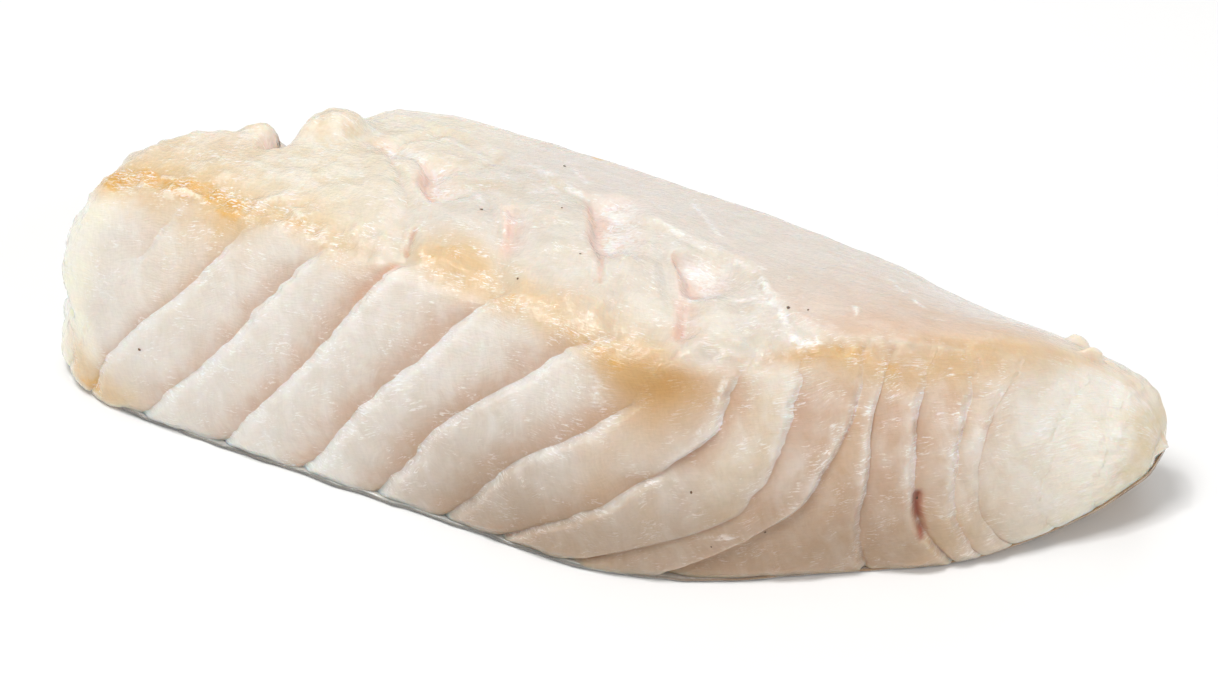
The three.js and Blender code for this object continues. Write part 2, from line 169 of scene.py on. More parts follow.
# Pits with a sharp wall: the wall's two ends (x, v), how far the pit reaches behind it, its depth
WALLED_PITS = [
    ((-37.2, -0.52), (-30.2, -0.32), 8, 2),
    ((-18.6, -0.37), (-15.2, -0.26), 3.6, 0.9),
    ((-14.6, -0.24), (-12.4, -0.17), 3.2, 0.7),
    ((-11.6, -0.6), (-2.2, -0.31), 10, 1.7),
    ((7.4, -0.45), (12.8, -0.29), 8, 1.5),
    ((13.1, -0.25), (15.8, -0.07), 3.6, 0.9),
]
WALL_TILT = 1.5

# Unevenness, as noises of a height, size and seed: the flake boundaries' wander, the thick end's
# rim, the tip, the crags, the crumbs on them, and soft swells everywhere
EDGE_WANDER = [(0.55, 6, 21), (0.35, 1.9, 22), (0.16, 0.9, 23)]
RIM_RELIEF = [(0.08, 1.5, 43), (0.35, 3.2, 46), (0.5, 7, 47)]
TIP_RELIEF = [(0.5, 2.4, 44), (0.35, 1.1, 45)]
CRAG = (0.6, 4.5, 7)
CRUMBS = [(0.55, 2.1, 41), (0.35, 1.1, 42)]
SWELLS = [(0.45, 14, 7), (0.09, 2.6, 52), (0.14, 5.5, 54)]

# How finely the surface is divided, how many millimetres a v of 1 is taken as, and how many
# degrees the fibres are turned
STEPS_PER_FLAKE = 25
FLESH_ROWS = (84, 88, 20, 18)
THICK_CAP_RINGS = 20
TIP_CAP_RINGS = 8
V_TO_MM = 45.0
FIBRE_TURN = 17.0

STEPS = np.array([THICK_END_STEP, *[b[2:] for b in BOUNDARIES], TIP_STEP])
STEP_DEPTH, RISE_AT_RIDGE, RISE_AT_FOOT, SHOWN_ON_RIDGE, SHOWN_ON_TOP = STEPS.T
FLAKES = len(STEP_DEPTH) - 1

# A flake's profile: its proud and low edges and its belly, as shares of its depth, how late it
# falls, and how wide the steps and the blocks' grooves are, in millimetres
PROUD_EDGE = 0.55
LOW_EDGE = -0.6
FLAKE_BELLY = 0.25
FLAKE_FALL = 1.7
RISER_WIDTHS = (1.6, 1.1)
BLOCK_GROOVE_WIDTH = 2.8

# Browned bands along the ridge: path through (x, v), half width, strength along the path, and the
# strength of the golden glow round it
BROWNED_BANDS = [
    ([(-78, 0.02), (-73, -0.03), (-68, -0.04), (-61, -0.03), (-55, 0), (-53, 0.04)], 2.4,
     (1.25, 1), (1, 0.9)),
    ([(-53.5, 0.02), (-47, -0.02), (-40, 0), (-33, 0.03)], 2, (0.45, 0.25), (0.8, 0.5)),
    ([(-21, -0.07), (-17, -0.04), (-10, -0.01), (-3.5, 0.04), (3, 0.09), (11, 0.12)], 2,
     (0.25, 0.35), (0.65, 0.75)),
    ([(35, 0.03), (39, 0.09), (43, 0.1), (49, 0.04), (55, -0.03), (60, -0.16)], 2.8, (0.42, 0.15),
     (0.8, 0.5)),
]
# How many times wider than the band its glow is
GLOW_SPREAD = 2.4
# Browned spots, and soft golden patches: x, v, half length along x, half width in v, strength
BROWNED = [
    (-75.5, 0, 3.4, 0.06, 1.8), (-64.2, -0.03, 2.6, 0.06, 1.4), (-54.3, 0.01, 2.6, 0.07, 1.4),
    (39.6, 0.09, 2.6, 0.07, 0.55), (-19, -1, 0.9, 0.02, 1.6), (-17.2, -0.05, 2.8, 0.06, 0.6),
    (12, 0.13, 2.8, 0.05, 0.55), (-71, 0.93, 5, 0.06, 0.8), (-43, 0, 2.6, 0.06, 0.6),
    (-20, -0.06, 3, 0.07, 0.6), (-6.5, 0.01, 3.2, 0.06, 0.55),
]
GOLDEN = [
    (-17, -0.06, 5, 0.13, 0.95), (-64, -0.16, 10, 0.12, 0.4), (-66, -0.34, 9, 0.13, 0.3),
    (-7, 0.05, 6, 0.1, 0.6), (5, -0.06, 8, 0.12, 0.5), (13, 0.02, 6, 0.1, 0.6),
    (-43, -0.55, 6, 0.06, 0.35), (-24, -0.5, 4, 0.05, 0.45), (-57, -0.8, 3.5, 0.07, 0.6),
    (-66, 0.93, 6, 0.12, 0.8), (-73, 0.9, 5, 0.14, 0.8), (50, -0.12, 9, 0.1, 0.4),
    (67, 0.95, 5, 0.08, 0.4), (-68, 0.07, 6, 0.1, 0.45), (-42, -0.12, 5, 0.08, 0.3),
    (48, 0.12, 11, 0.13, 0.4), (57, 0.02, 9, 0.13, 0.3), (-33, 0.06, 5, 0.12, 0.4),
    (-59, 0.33, 6, 0.24, 0.36), (-50, 0.22, 5, 0.14, 0.3), (-71, -0.24, 3, 0.06, 0.4),
    (-70, 0.13, 6, 0.12, 0.35), (-61, 0.14, 5, 0.12, 0.4), (-54, 0.12, 4, 0.1, 0.35),
    (-63, -0.28, 3.2, 0.05, 0.4), (-57.5, -0.38, 2.5, 0.05, 0.45), (-67, -0.5, 3, 0.06, 0.3),
    (55.5, 0.8, 7, 0.26, 0.42), (52.5, 0.3, 6, 0.2, 0.24),
]
# Soft tan stains that show through from below, in the same order
STAINED = [
    (16.8, 0.17, 7.2, 0.13, 0.76), (18, 0.27, 8.6, 0.18, 0.46), (18.6, 0.46, 3.6, 0.2, 0.2),
    (19.2, 0.7, 2, 0.14, 0.2), (10.5, 0.12, 5, 0.09, 0.4), (26.5, 0.4, 3.2, 0.28, 0.05),
    (-6, 0.14, 6, 0.1, 0.25), (12, 0.85, 8, 0.2, 0.15), (34, 0.02, 8, 0.06, 0.4),
    (40.6, 0.45, 3.4, 0.25, 0.34), (12, 0.56, 4.5, 0.18, 0.34), (51, -0.26, 7, 0.15, 0.34),
    (-7.5, 0.48, 4, 0.2, 0.14),
]
# White film edges, and faint lines on the slope and the flakes, each a path through (x, v)
FILM_EDGES = [
    [(-25.5, -0.73), (-21.5, -0.69), (-16.8, -0.61), (-13, -0.6)],
    [(-3, -0.62), (4, -0.58), (7.5, -0.58), (13, -0.55), (17.8, -0.49), (22.5, -0.34),
     (28.2, -0.18), (32.8, -0.04)],
]
THIN_LINES = [
    [(-1, -0.9), (1, -0.81), (5.5, -0.72), (11, -0.62)],
    [(22.2, -0.51), (29.8, -0.24), (32.8, -0.06)],
    [(32.8, -0.74), (39, -0.52), (44.5, -0.34)],
    [(33.5, -0.34), (37.2, -0.13)],
    [(-39.2, -0.73), (-34.8, -0.71), (-30.5, -0.67)],
    [(4.8, 0.1), (6.6, 0.16), (8.6, 0.24), (9.6, 0.33)],
    [(-24.8, -0.42), (-19.8, -0.34), (-15.5, -0.26)],
    [(-23, -0.72), (-18.2, -0.61), (-14.2, -0.54)],
    [(-22.5, -0.85), (-17.5, -0.76), (-12.8, -0.67)],
    [(13, -0.28), (17, -0.29), (20.8, -0.34)],
    [(24.6, 0.12), (24, 0.3), (22.6, 0.45)],
    [(24.8, 0.82), (28, 0.79), (31, 0.8)],
]
FILM_HALF_WIDTH = 0.6
LINE_HALF_WIDTH = 0.4
# Narrow slits between flakes: path, half width and depth
SLITS = [
    ([(-25.4, 0.03), (-27.2, 0.14), (-29.3, 0.26)], 0.8, 0.25),
    ([(-25, -0.04), (-26.6, -0.14)], 0.5, 0.6),
    ([(-1.5, -0.3), (1.2, -0.21), (2, -0.17)], 0.5, 0.4),
]
RED_CAVITY = [(50.2, 0.64), (50.5, 0.7), (51.3, 0.77), (51.8, 0.83)]
RED_CAVITY_HALF_WIDTH = 0.5
RED_CAVITY_DEPTH = 0.8
# How deep the gaps between the rounded feet of the flakes are
FOOT_GAP_DEPTH = 0.6
# Where a flake's edge fades out towards the foot of the thick end
FADED_HALF_WIDTH = 2.6
FADED_EDGE = [(-67.4, 0.42), (-72, 0.7), (-76.5, 1)]
# Bites out of the rim of the thick end: v, half width in v, depth
RIM_BITES = [
    (0.78, 0.07, 0.8), (0.93, 0.03, 1.2), (0.48, 0.022, 0.7), (0.31, 0.02, 0.6),
    (0.13, 0.02, 0.6), (-0.1, 0.025, 0.8), (-0.22, 0.03, 0.9), (-0.33, 0.025, 0.8),
    (-0.4, 0.02, 0.7), (-0.72, 0.03, 0.8), (-0.86, 0.03, 0.9), (-1.2, 0.05, 0.8),
]
# A notch in the steep side beside the thick end's rim: v, half width in v, reach along x, depth
NOTCH = (0.69, 0.065, 5.5, 3.4)
# How far the flakes slant down the far side, and how much more they wander there
FAR_SIDE_SLANT = 4.0
FAR_SIDE_WANDER = 1.7
# The layers that show on the cut end: each one's width, the y and z that they curve round, and
# the grooves between them
END_LAYER = 6.5
END_LAYER_CENTRE = (-4, -16)
END_GROOVE_HALF_WIDTH = 0.5
END_GROOVE_DEPTH = 0.5
# Where the steps hardly show, and which flake is the ivory one
CALM_PATCH = (16, 0.06, 7.5, 0.27)
IVORY_FLAKE_PLACE = 8
# The crumbly band along the ridge, by x: the v of its middle, and its strength
BAND_MIDDLE_V = [(-55, -0.02), (-35, 0), (-20, -0.03), (0, 0.05), (12, 0.11), (35, 0.02),
                 (43, 0.06), (55, -0.02), (60, -0.15)]
BAND_STRENGTH = [(-80, 0.8), (-76, 1), (-50, 1), (-36, 0.6), (-24, 0.1), (-18, 0.15), (10, 0.15),
                 (16, 0), (34, 0), (38, 0.3), (52, 0.3), (62, 0)]
# Dark specks: their least and greatest radius, how flat they are, and where they lie (x, v)
SPECK_SIZES = (0.13, 0.24)
SPECK_FLATNESS = 0.6
SPECKS = [(-61.5, 0.69), (-21.2, -0.33), (-19.8, -0.79), (-12, -0.46), (-3, -0.25), (-8.5, -0.07),
          (23.5, 0.61), (33.5, 0.78), (27.2, 0.83), (26.2, -0.28), (28.8, -0.27), (50.5, 0.67)]
# Low humps of the blocks on the top, and lumps at both ends: x, v, half length along x, half
# width in v, height
HUMPS = [
    (-20, -0.62, 4, 0.06, 0.7), (-13.5, -0.42, 3, 0.09, 0.8), (-7, -0.28, 4, 0.09, 0.5),
    (-22, -0.22, 4.5, 0.13, 0.8), (-39, -0.25, 5, 0.1, 0.6), (-31, -0.2, 4, 0.12, 0.6),
    (3, -0.28, 4, 0.08, 0.5), (18, -0.22, 3.5, 0.07, 0.6), (-60, -0.2, 6, 0.08, 0.5),
    (-3, -0.62, 4, 0.07, 0.4), (-63.5, -0.46, 2.2, 0.035, 1.4), (-54.5, -0.6, 4.5, 0.14, 3.1),
    (60.8, -0.74, 1.6, 0.05, 1.2), (63.5, -0.35, 1.5, 0.07, 1.5), (66, -0.5, 1.2, 0.06, 0.8),
    (70.5, -0.4, 1.4, 0.1, 0.7), (73, 0.2, 1.2, 0.05, 0.6),
]

# Colours of the cooked flesh
FLESH_CREAM = (0.725, 0.65, 0.54)
FLESH_PINKISH = (0.705, 0.63, 0.545)
CREAM_YELLOW = (0.83, 0.735, 0.575)
NEAR_SIDE = (0.785, 0.72, 0.645)
PEACH = (0.63, 0.43, 0.31)
SLIT = (0.74, 0.47, 0.32)
# Painted light: PAINTED_SHEEN for the highlight on proud edges, the sheen and the light streaks, and
# GLINT for the painted glints
PAINTED_SHEEN = (0.88, 0.85, 0.81)
GLINT = (0.97, 0.96, 0.94)
FILM_WHITE = (0.95, 0.93, 0.91)
IVORY = (0.97, 0.92, 0.76)
TIP_CREAM = (0.91, 0.84, 0.71)
TIP_TAN = (0.76, 0.62, 0.38)
# Crumbs: a painted highlight for their tops, and golden colour with painted shade for the hollows
# between
CRUMB_HIGHLIGHT = (0.93, 0.87, 0.75)
CRUMB_GOLD_AND_SHADE = (0.74, 0.53, 0.27)
IVORY_FLAKE = (0.78, 0.67, 0.51)
SLOPE_PALE = (0.73, 0.65, 0.575)
WARM_TAN = (0.645, 0.445, 0.31)
PIT_PINK = (0.82, 0.56, 0.455)
TAN_SHADE = (0.39, 0.265, 0.165)
STAIN = (0.58, 0.32, 0.095)
GOLDEN_GLOW = (0.72, 0.49, 0.23)
GOLD = (0.77, 0.42, 0.075)
BROWN = (0.70, 0.37, 0.05)
CAVITY_RED = (0.46, 0.17, 0.11)
# Colours of the skin, the specks and the floor; a pair goes from dark to light, and the rim's
# from the thick end to the tip
SKIN_SILVER = ((0.36, 0.37, 0.35), (0.58, 0.57, 0.52))
SKIN_BROWN = ((0.13, 0.08, 0.055), (0.32, 0.22, 0.15))
SKIN_RIM = ((0.17, 0.16, 0.14), (0.34, 0.20, 0.09))
SKIN_GOLDEN = (0.55, 0.34, 0.13)
MEMBRANE = (0.66, 0.62, 0.58)
SCALE_DARK = (0.12, 0.12, 0.11)
SPECK_COLOURS = ((0.09, 0.05, 0.03), (0.25, 0.15, 0.08))
FLOOR_COLOURS = ((0.93, 0.93, 0.93), (0.95, 0.95, 0.95))

# The skin: how finely it is divided, and its edge's form
SKIN_COLUMNS = 420
SKIN_ROWS = 64
SKIN_SIDE_ROWS = 5
SKIN_EDGE_DRAWN_IN = 0.35
SKIN_EDGE_WAVES = [(0.3, 7.0, 71), (0.15, 2.4, 72)]
SKIN_EDGE_THICKNESS = 0.62
SKIN_EDGE_BULGE = 0.25


def clamp01(x):
    return np.clip(x, 0.0, 1.0)


def mix(a, b, t):
    return a + (b - a) * t


def ramp(start, end, x):
    """A smooth ramp from 0 at x = start to 1 at x = end, either way round."""
    t = clamp01((x - start) / (end - start))
    return t * t * (3 - 2 * t)


def bell(distance, half_width, power=2):
    """1 at no distance, falling off to 0 past the half width."""
    return np.exp(-(distance / half_width) ** power)


def xyz(*parts):
    return np.stack(np.broadcast_arrays(*parts), -1)


def hermite(t, p0, m0, p1, m1):
    s = 1 - t
    return (1 + 2 * t) * s * s * p0 + t * s * s * m0 + t * t * (3 - 2 * t) * p1 - t * t * s * m1


def curve_at(points, x):
    """The value at x of a smooth curve through the points that never overshoots them."""
    xs, ys = np.array(points, float).T
    width = np.diff(xs)
    slope = np.diff(ys) / width
    w1 = 2 * width[1:] + width[:-1]
    w2 = width[1:] + 2 * width[:-1]
    same_way = slope[:-1] * slope[1:] > 0
    before, after = np.where(same_way, slope[:-1], 1), np.where(same_way, slope[1:], 1)
    inner = np.where(same_way, (w1 + w2) / (w1 / before + w2 / after), 0)
    tangent = np.concatenate([slope[:1], inner, slope[-1:]])
    x = np.clip(np.asarray(x, float), xs[0], xs[-1])
    i = np.clip(np.searchsorted(xs, x, side="left") - 1, 0, len(xs) - 2)
    t = (x - xs[i]) / width[i]
    return hermite(t, ys[i], width[i] * tangent[i], ys[i + 1], width[i] * tangent[i + 1])


def straight_at(points, x):
    """The value at x of straight lines between the points."""
    return np.interp(x, *np.array(points, float).T)


def lattice_value(i, j, k, seed):
    """A number from 0 to 1 that looks random, the same each time for the same place and seed."""
    n = np.sin(i * 127.1 + j * 311.7 + k * 74.7 + seed * 53.3) * 43758.5453
    return n - np.floor(n)


def noise(p, size, seed):
    """Smooth noise from -1 to 1 at points p, with bumps of about the given size."""
    base = np.floor(p / size)
    part = p / size - base
    part = part * part * (3 - 2 * part)
    total = 0
    for corner in itertools.product((0, 1), repeat=3):
        a, b, c = np.moveaxis(np.where(corner, part, 1 - part), -1, 0)
        total = total + a * b * c * lattice_value(*np.moveaxis(base + corner, -1, 0), seed)
    return 2 * total - 1


def noises(p, *layers):
    """Noise added up from layers, each with its height, size and seed."""
    return sum(height * noise(p, size, seed) for height, size, seed in layers)


def layered_noise(p, size, seed):
    """Noise with finer and finer layers."""
    return sum(noise(p + 17.3 * k, size / 2 ** k, seed + k) / 2 ** k for k in range(3)) / 1.75


def skin_bottom(x, s):
    """Height of the skin's underside at x, a share s of the way from the near to the far edge."""
    middle_lift = mix(0.35, 0.95, ramp(62, TIP_X, x))
    return curve_at(EDGE_LIFT, x) * mix(middle_lift, 1.0, np.abs(2 * s - 1) ** 3)


def section_point(x, v):
    """y and z of the section's outline."""
    near_y = curve_at(NEAR_EDGE_Y, x)
    far_y = curve_at(FAR_EDGE_Y, x)
    width = far_y - near_y
    foot_z = skin_bottom(x, 0.0) + SKIN_THICKNESS
    far_z = skin_bottom(x, 1.0) + SKIN_THICKNESS
    ridge_y = curve_at(RIDGE_Y, x)
    ridge_z = curve_at(RIDGE_Z, x)
    shoulder_y = far_y - SHOULDER_SHARE * width
    shoulder_z = curve_at(SHOULDER_Z, x)
    rise = ridge_z - foot_z
    run = shoulder_y - ridge_y
    fall = ridge_z - shoulder_z
    far_rise = shoulder_z - far_z
    t_near = clamp01(1 - v)
    t_top = clamp01(-v)
    t_far = clamp01((-1 - v) / 0.5)
    s = clamp01(2.5 + v)
    near = (hermite(t_near, near_y, -FOOT_SWELL * rise, ridge_y,
                    0.9 * (ridge_y - near_y) + TOP_CROWN * width),
            hermite(t_near, foot_z, rise, ridge_z, RIDGE_TURN * rise))
    top = (hermite(t_top, ridge_y, run, shoulder_y, 0.8 * run),
           hermite(t_top, ridge_z, 0.35 * fall + TOP_CROWN * width, shoulder_z,
                   -1.3 * fall - TOP_CROWN * width))
    far = (hermite(t_far, shoulder_y, 0.08 * width, far_y, -0.08 * width),
           hermite(t_far, shoulder_z, -0.9 * far_rise, far_z, -0.8 * far_rise))
    base = (mix(near_y, far_y, s), skin_bottom(x, s) + SKIN_THICKNESS)
    where = [v >= 0, v >= -1, v >= -1.5]
    y = np.select(where, [near[0], top[0], far[0]], base[0])
    z = np.select(where, [near[1], top[1], far[1]], base[1])
    return y, z


def end_inset(x, v):
    """How far the section draws in where an end is rounded."""
    def quarter(distance, radius):
        left = 1 - clamp01(distance / radius)
        return radius * (1 - np.sqrt(1 - left * left))
    thick_end = quarter(x - curve_at(THICK_END, v), THICK_END_ROUND)
    return END_INSET_SHARE * (thick_end + quarter(TIP_X - x, TIP_ROUND))


def surface_point(x, v):
    """The smooth form of the fillet, before its flakes."""
    y, z = section_point(x, v)
    near_y = curve_at(NEAR_EDGE_Y, x)
    far_y = curve_at(FAR_EDGE_Y, x)
    middle_y = (near_y + far_y) / 2
    middle_z = MIDDLE_HEIGHT_SHARE * curve_at(RIDGE_Z, x)
    inset = end_inset(x, v)
    drawn_y = 1 - inset / np.maximum((far_y - near_y) / 2, LEAST_HALF_SIZE)
    drawn_z = 1 - inset / np.maximum(middle_z, LEAST_HALF_SIZE)
    foot_stays = mix(1.0, drawn_z, ramp(0, middle_z, z))
    return xyz(x, mix(middle_y, y, drawn_y), mix(middle_z, z, foot_stays))


def form_point(x, v):
    """The smooth form with its ridge rounded off."""
    sharp = surface_point(x, v)
    beside = sum(surface_point(x, v + step) for step in RIDGE_ROUNDING) / len(RIDGE_ROUNDING)
    return mix(sharp, beside, bell(v, 0.12)[..., None])


def boundary_x(near, top, v):
    """x of a flake boundary at v: a chevron with its point on the ridge."""
    on_near = curve_at([(k / 3, x) for k, x in enumerate(near)], clamp01(v))
    on_top = mix(near[0], top[0], clamp01(v / TOP_MIDDLE_V) ** 1.3)
    beyond = mix(top[0], top[1], ramp(TOP_MIDDLE_V, -1, v))
    far_foot = top[1] + FAR_SIDE_SLANT
    on_far = mix(top[1], far_foot, ramp(-1, -1.5, v))
    under = mix(far_foot, near[3], clamp01(-v - 1.5))
    where = [v >= 0, v >= TOP_MIDDLE_V, v >= -1, v >= -1.5]
    return np.select(where, [on_near, on_top, beyond, on_far], under)


def boundaries_at(v):
    """x of every flake boundary at each v, the two ends included. The last axis is the boundary."""
    plain = [boundary_x(b[0], b[1], v) for b in BOUNDARIES]
    return np.stack([curve_at(THICK_END, v), *plain, np.full_like(v, TIP_X)], -1)


def ring_of_v():
    """v of the rows, once round the section from the near foot."""
    near, top, far, base = FLESH_ROWS
    spans = [(1, 0, near), (0, -1, top), (-1, -1.5, far), (-1.5, -2.5, base)]
    return np.concatenate([np.linspace(a, b, n, endpoint=False) for a, b, n in spans])


def columns_of_f():
    """Flake coordinates of the columns, closer together at the flake's edges."""
    s = np.arange(STEPS_PER_FLAKE) / STEPS_PER_FLAKE
    t = mix(s, s * s * (3 - 2 * s), 0.75)
    return np.append((np.arange(FLAKES)[:, None] + t).ravel(), FLAKES)


def path_distance(path, x, v):
    """Distance in millimetres from the points to a path through (x, v)."""
    best = np.full(np.broadcast(x, v).shape, 1e9)
    for (x0, v0), (x1, v1) in zip(path, path[1:]):
        dx, dy = x1 - x0, (v1 - v0) * V_TO_MM
        px, py = x - x0, (v - v0) * V_TO_MM
        t = clamp01((px * dx + py * dy) / (dx * dx + dy * dy))
        best = np.minimum(best, np.hypot(px - t * dx, py - t * dy))
    return best


def on_path(path, x, v, half_width, power=2):
    return bell(path_distance(path, x, v), half_width, power)


def rim_bites(v):
    return sum(depth * bell(v - at, half) for at, half, depth in RIM_BITES)


def wandering_edges(v):
    """The flake boundaries, with the small wander of real ones."""
    edges = boundaries_at(v)
    apart = np.arange(edges.shape[-1]) * 13.7
    wander = noises(xyz(v[:, None] * V_TO_MM, apart, 0), *EDGE_WANDER)
    gap = np.diff(edges, axis=-1)
    room = np.minimum(np.concatenate([gap[:, :1], gap], -1),
                      np.concatenate([gap, gap[:, -1:]], -1))
    wander *= clamp01(room / 6) * ramp(-1.5, -1.4, v)[:, None]
    wander *= mix(1.0, FAR_SIDE_WANDER, ramp(-0.95, -1.05, v))[:, None]
    wander[:, 0] = 0.7 * wander[:, 0] + rim_bites(v)
    wander[:, -1] = 0
    return edges + wander


def outward_at(x, v):
    dx, dv = 0.5, 0.01
    along_x = form_point(x + dx, v) - form_point(x - dx, v)
    along_v = form_point(x, v + dv) - form_point(x, v - dv)
    out = np.cross(along_v, along_x)
    return out / np.linalg.norm(out, axis=-1, keepdims=True)


def blob(x, v, at_x, at_v, half_x, half_v, power=1.0):
    """1 in the middle of an oval patch, falling off to 0 outside it."""
    away = ((x - at_x) / half_x) ** 2 + ((v - at_v) / half_v) ** 2
    return np.exp(-away ** power)


def flesh_grid():
    """The grid of points, columns along x by rows round the section, and where each one lies."""
    g = SimpleNamespace()
    rows = ring_of_v()
    f = columns_of_f()
    edges = wandering_edges(rows)
    g.flake = np.minimum(np.floor(f).astype(int), FLAKES - 1)
    left, right = edges[:, g.flake].T, edges[:, g.flake + 1].T
    share = (f - g.flake)[:, None]
    g.x = mix(left, right, share)
    g.v = np.broadcast_to(rows, g.x.shape)
    g.t = np.broadcast_to(share, g.x.shape)
    g.width = np.maximum(right - left, 0.5)
    g.from_left, g.from_right = g.t * g.width, (1 - g.t) * g.width
    g.from_end = g.x - curve_at(THICK_END, g.v)
    g.smooth = form_point(g.x, g.v)
    g.out = outward_at(g.x, g.v)
    # Places that wander a little, so that no patch or pit is a plain oval
    g.near_x = g.x + 1.3 * noise(g.smooth, 5.0, 33)
    g.near_v = g.v + 0.028 * noise(g.smooth, 5.0, 34)
    g.crest = curve_at(CREST_V, g.x)
    g.flaked = ramp(-0.04, 0.06, g.v - g.crest)
    g.on_near = ramp(-0.06, 0.08, g.v + 0.03 * noise(g.smooth, 4.0, 31))
    return g


def over_flake(values, g):
    """A value of the flake boundaries, going evenly from one boundary to the next."""
    return mix(values[g.flake][:, None], values[g.flake + 1][:, None], g.t)


def flake_relief(g):
    """Height of the flakes: sawtooth steps on the steep side, blocks on the top and far side."""
    def proud_at(boundary):
        """1 where the flake after the boundary is the proud one, 0 where the one before it is."""
        turned = ramp(STEP_TURNS_V - 0.05, STEP_TURNS_V + 0.05, g.v)
        return mix(RISE_AT_RIDGE[boundary][:, None], RISE_AT_FOOT[boundary][:, None], turned)
    g.proud_left, g.proud_right = proud_at(g.flake), 1 - proud_at(g.flake + 1)
    along_edge = xyz(g.v * V_TO_MM, (g.flake[:, None] + g.t) * 5.0, 0)
    g.depth = over_flake(STEP_DEPTH, g) * (1 + 0.25 * noise(along_edge, 9.0, 25))
    g.shown_on_top = over_flake(SHOWN_ON_TOP, g)
    g.crowding = clamp01(g.width / FULL_DEPTH_WIDTH)
    faded = on_path(FADED_EDGE, g.x, g.v, FADED_HALF_WIDTH)
    g.calm = (1 - blob(g.x, g.v, *CALM_PATCH, 2.0)) * (1 - 0.9 * faded)
    below_ridge = ramp(0.02, 0.26, g.v - 0.09 * ramp(28, 38, g.x))
    g.shown_near = mix(over_flake(SHOWN_ON_RIDGE, g), 1.0, below_ridge) * g.calm

    start = mix(LOW_EDGE, PROUD_EDGE, g.proud_left)
    stop = mix(LOW_EDGE, PROUD_EDGE, g.proud_right)
    lean = (start - stop) / (PROUD_EDGE - LOW_EDGE)
    way = mix(mix(g.t, g.t ** FLAKE_FALL, clamp01(lean)), 1 - (1 - g.t) ** FLAKE_FALL,
              clamp01(-lean))
    across = mix(start, stop, way)
    g.low = clamp01((PROUD_EDGE - across) / (PROUD_EDGE - LOW_EDGE))
    ragged = 1 + 0.35 * noise(along_edge, 4.0, 26)
    rise = ramp(0, 1, g.from_left / np.minimum(RISER_WIDTHS[0] * ragged, 0.3 * g.width))
    fall = ramp(0, 1, g.from_right / np.minimum(RISER_WIDTHS[1] * ragged, 0.3 * g.width))
    up = mix(1, rise, g.proud_left) * mix(1, fall, g.proud_right)
    belly = FLAKE_BELLY * (1 - (2 * g.t - 1) ** 2)
    near = g.depth * g.shown_near * (mix(LOW_EDGE, across, up) + belly)

    groove = np.minimum(BLOCK_GROOVE_WIDTH * ragged, 0.35 * g.width)
    in_block = ramp(0, 1, g.from_left / groove) * ramp(0, 1, g.from_right / groove)
    block = mix(LOW_EDGE, mix(PROUD_EDGE, PROUD_EDGE / 2, g.t), in_block) + belly
    on_far_side = ramp(-1, -1.12, g.v) * ramp(-1.5, -1.4, g.v)
    far_blocks = FAR_SIDE_DEPTH * on_far_side * (in_block + belly - 0.5)
    top = TOP_DEPTH * g.flaked * g.shown_on_top * block + far_blocks
    return g.crowding * mix(top, near, g.on_near)


def crest_relief(g):
    """Height of the low scarp where the blocks on the top end at the bare far slope."""
    past = g.crest - g.v
    along = ramp(40, 30, g.x) * ramp(-60, -45, g.x) * (g.v < 0) * (g.v > -1.4)
    rim = along * ramp(-0.02, 0.01, past) * np.exp(-3 * clamp01(past / 0.03) ** 2)
    g.rim_of_slope = 0.2 * rim * ramp(-0.2, 0.6, noise(g.smooth, 4.0, 35))
    return along * CREST_STEP * ramp(-0.03, 0.02, past) * ramp(CREST_REACH, 0, past)


def pit_relief(g):
    """Height of the pits between the blocks, with where their pink walls and their films are."""
    x, v = g.near_x, g.near_v
    pits, g.pit_films = np.zeros_like(x), np.zeros_like(x)
    for at_x, at_v, half_x, half_v, depth in PITS:
        half = np.where(x < at_x, 0.5 * half_x, 1.3 * half_x)
        pits += depth * blob(x, v, at_x, at_v, half, half_v, 1.3)
        films = blob(x, v, at_x + 0.8 * half_x, at_v, half_x, half_v, 1.3)
        g.pit_films = np.maximum(g.pit_films, films)
    g.pink = clamp01(pits) * (1 - 0.6 * g.pit_films)
    for (x0, v0), (x1, v1), reach, depth in WALLED_PITS:
        dx, dy = x1 - x0, (v1 - v0) * V_TO_MM
        away_x, away_y = x - x0, (v - v0) * V_TO_MM
        long = math.hypot(dx, dy)
        along = (away_x * dx + away_y * dy) / long
        behind = (away_x * dy - away_y * dx) / long
        window = ramp(-2.6, 1.6, along) * ramp(long + 2.6, long - 1.6, along)
        window *= ramp(reach, 0.2 * reach, behind)
        pits += depth * window * ramp(-0.5 * WALL_TILT, 0.5 * WALL_TILT, behind)
        g.pit_films = np.maximum(g.pit_films, window * ramp(1.0, 2.6, behind))
        # The pit's wall and floor: their pink is partly the hollow's own tone, partly painted shade
        # on the wall
        on_wall = ramp(-1.2, -0.2, behind) * ramp(0.4 * reach, 0.1 * reach, behind)
        g.pink = np.maximum(g.pink, window * np.maximum(on_wall, 0.55 * ramp(-1.0, 0.5, behind)))
    return -pits


def hump_relief(g):
    height = np.zeros_like(g.x)
    for *place, tall in HUMPS:
        share, power = (1.0, 2.0) if tall > 1 else (0.45, 1.5)
        height += share * tall * blob(g.near_x, g.near_v, *place, power)
    return height


def slit_relief(g):
    """Height of the narrow slits and the red one."""
    height, g.slits = np.zeros_like(g.x), np.zeros_like(g.x)
    for path, half_width, depth in SLITS:
        cut = on_path(path, g.x, g.v, half_width, 4)
        height -= depth * cut
        g.slits = np.maximum(g.slits, cut)
    return height - RED_CAVITY_DEPTH * on_path(RED_CAVITY, g.x, g.v, RED_CAVITY_HALF_WIDTH)


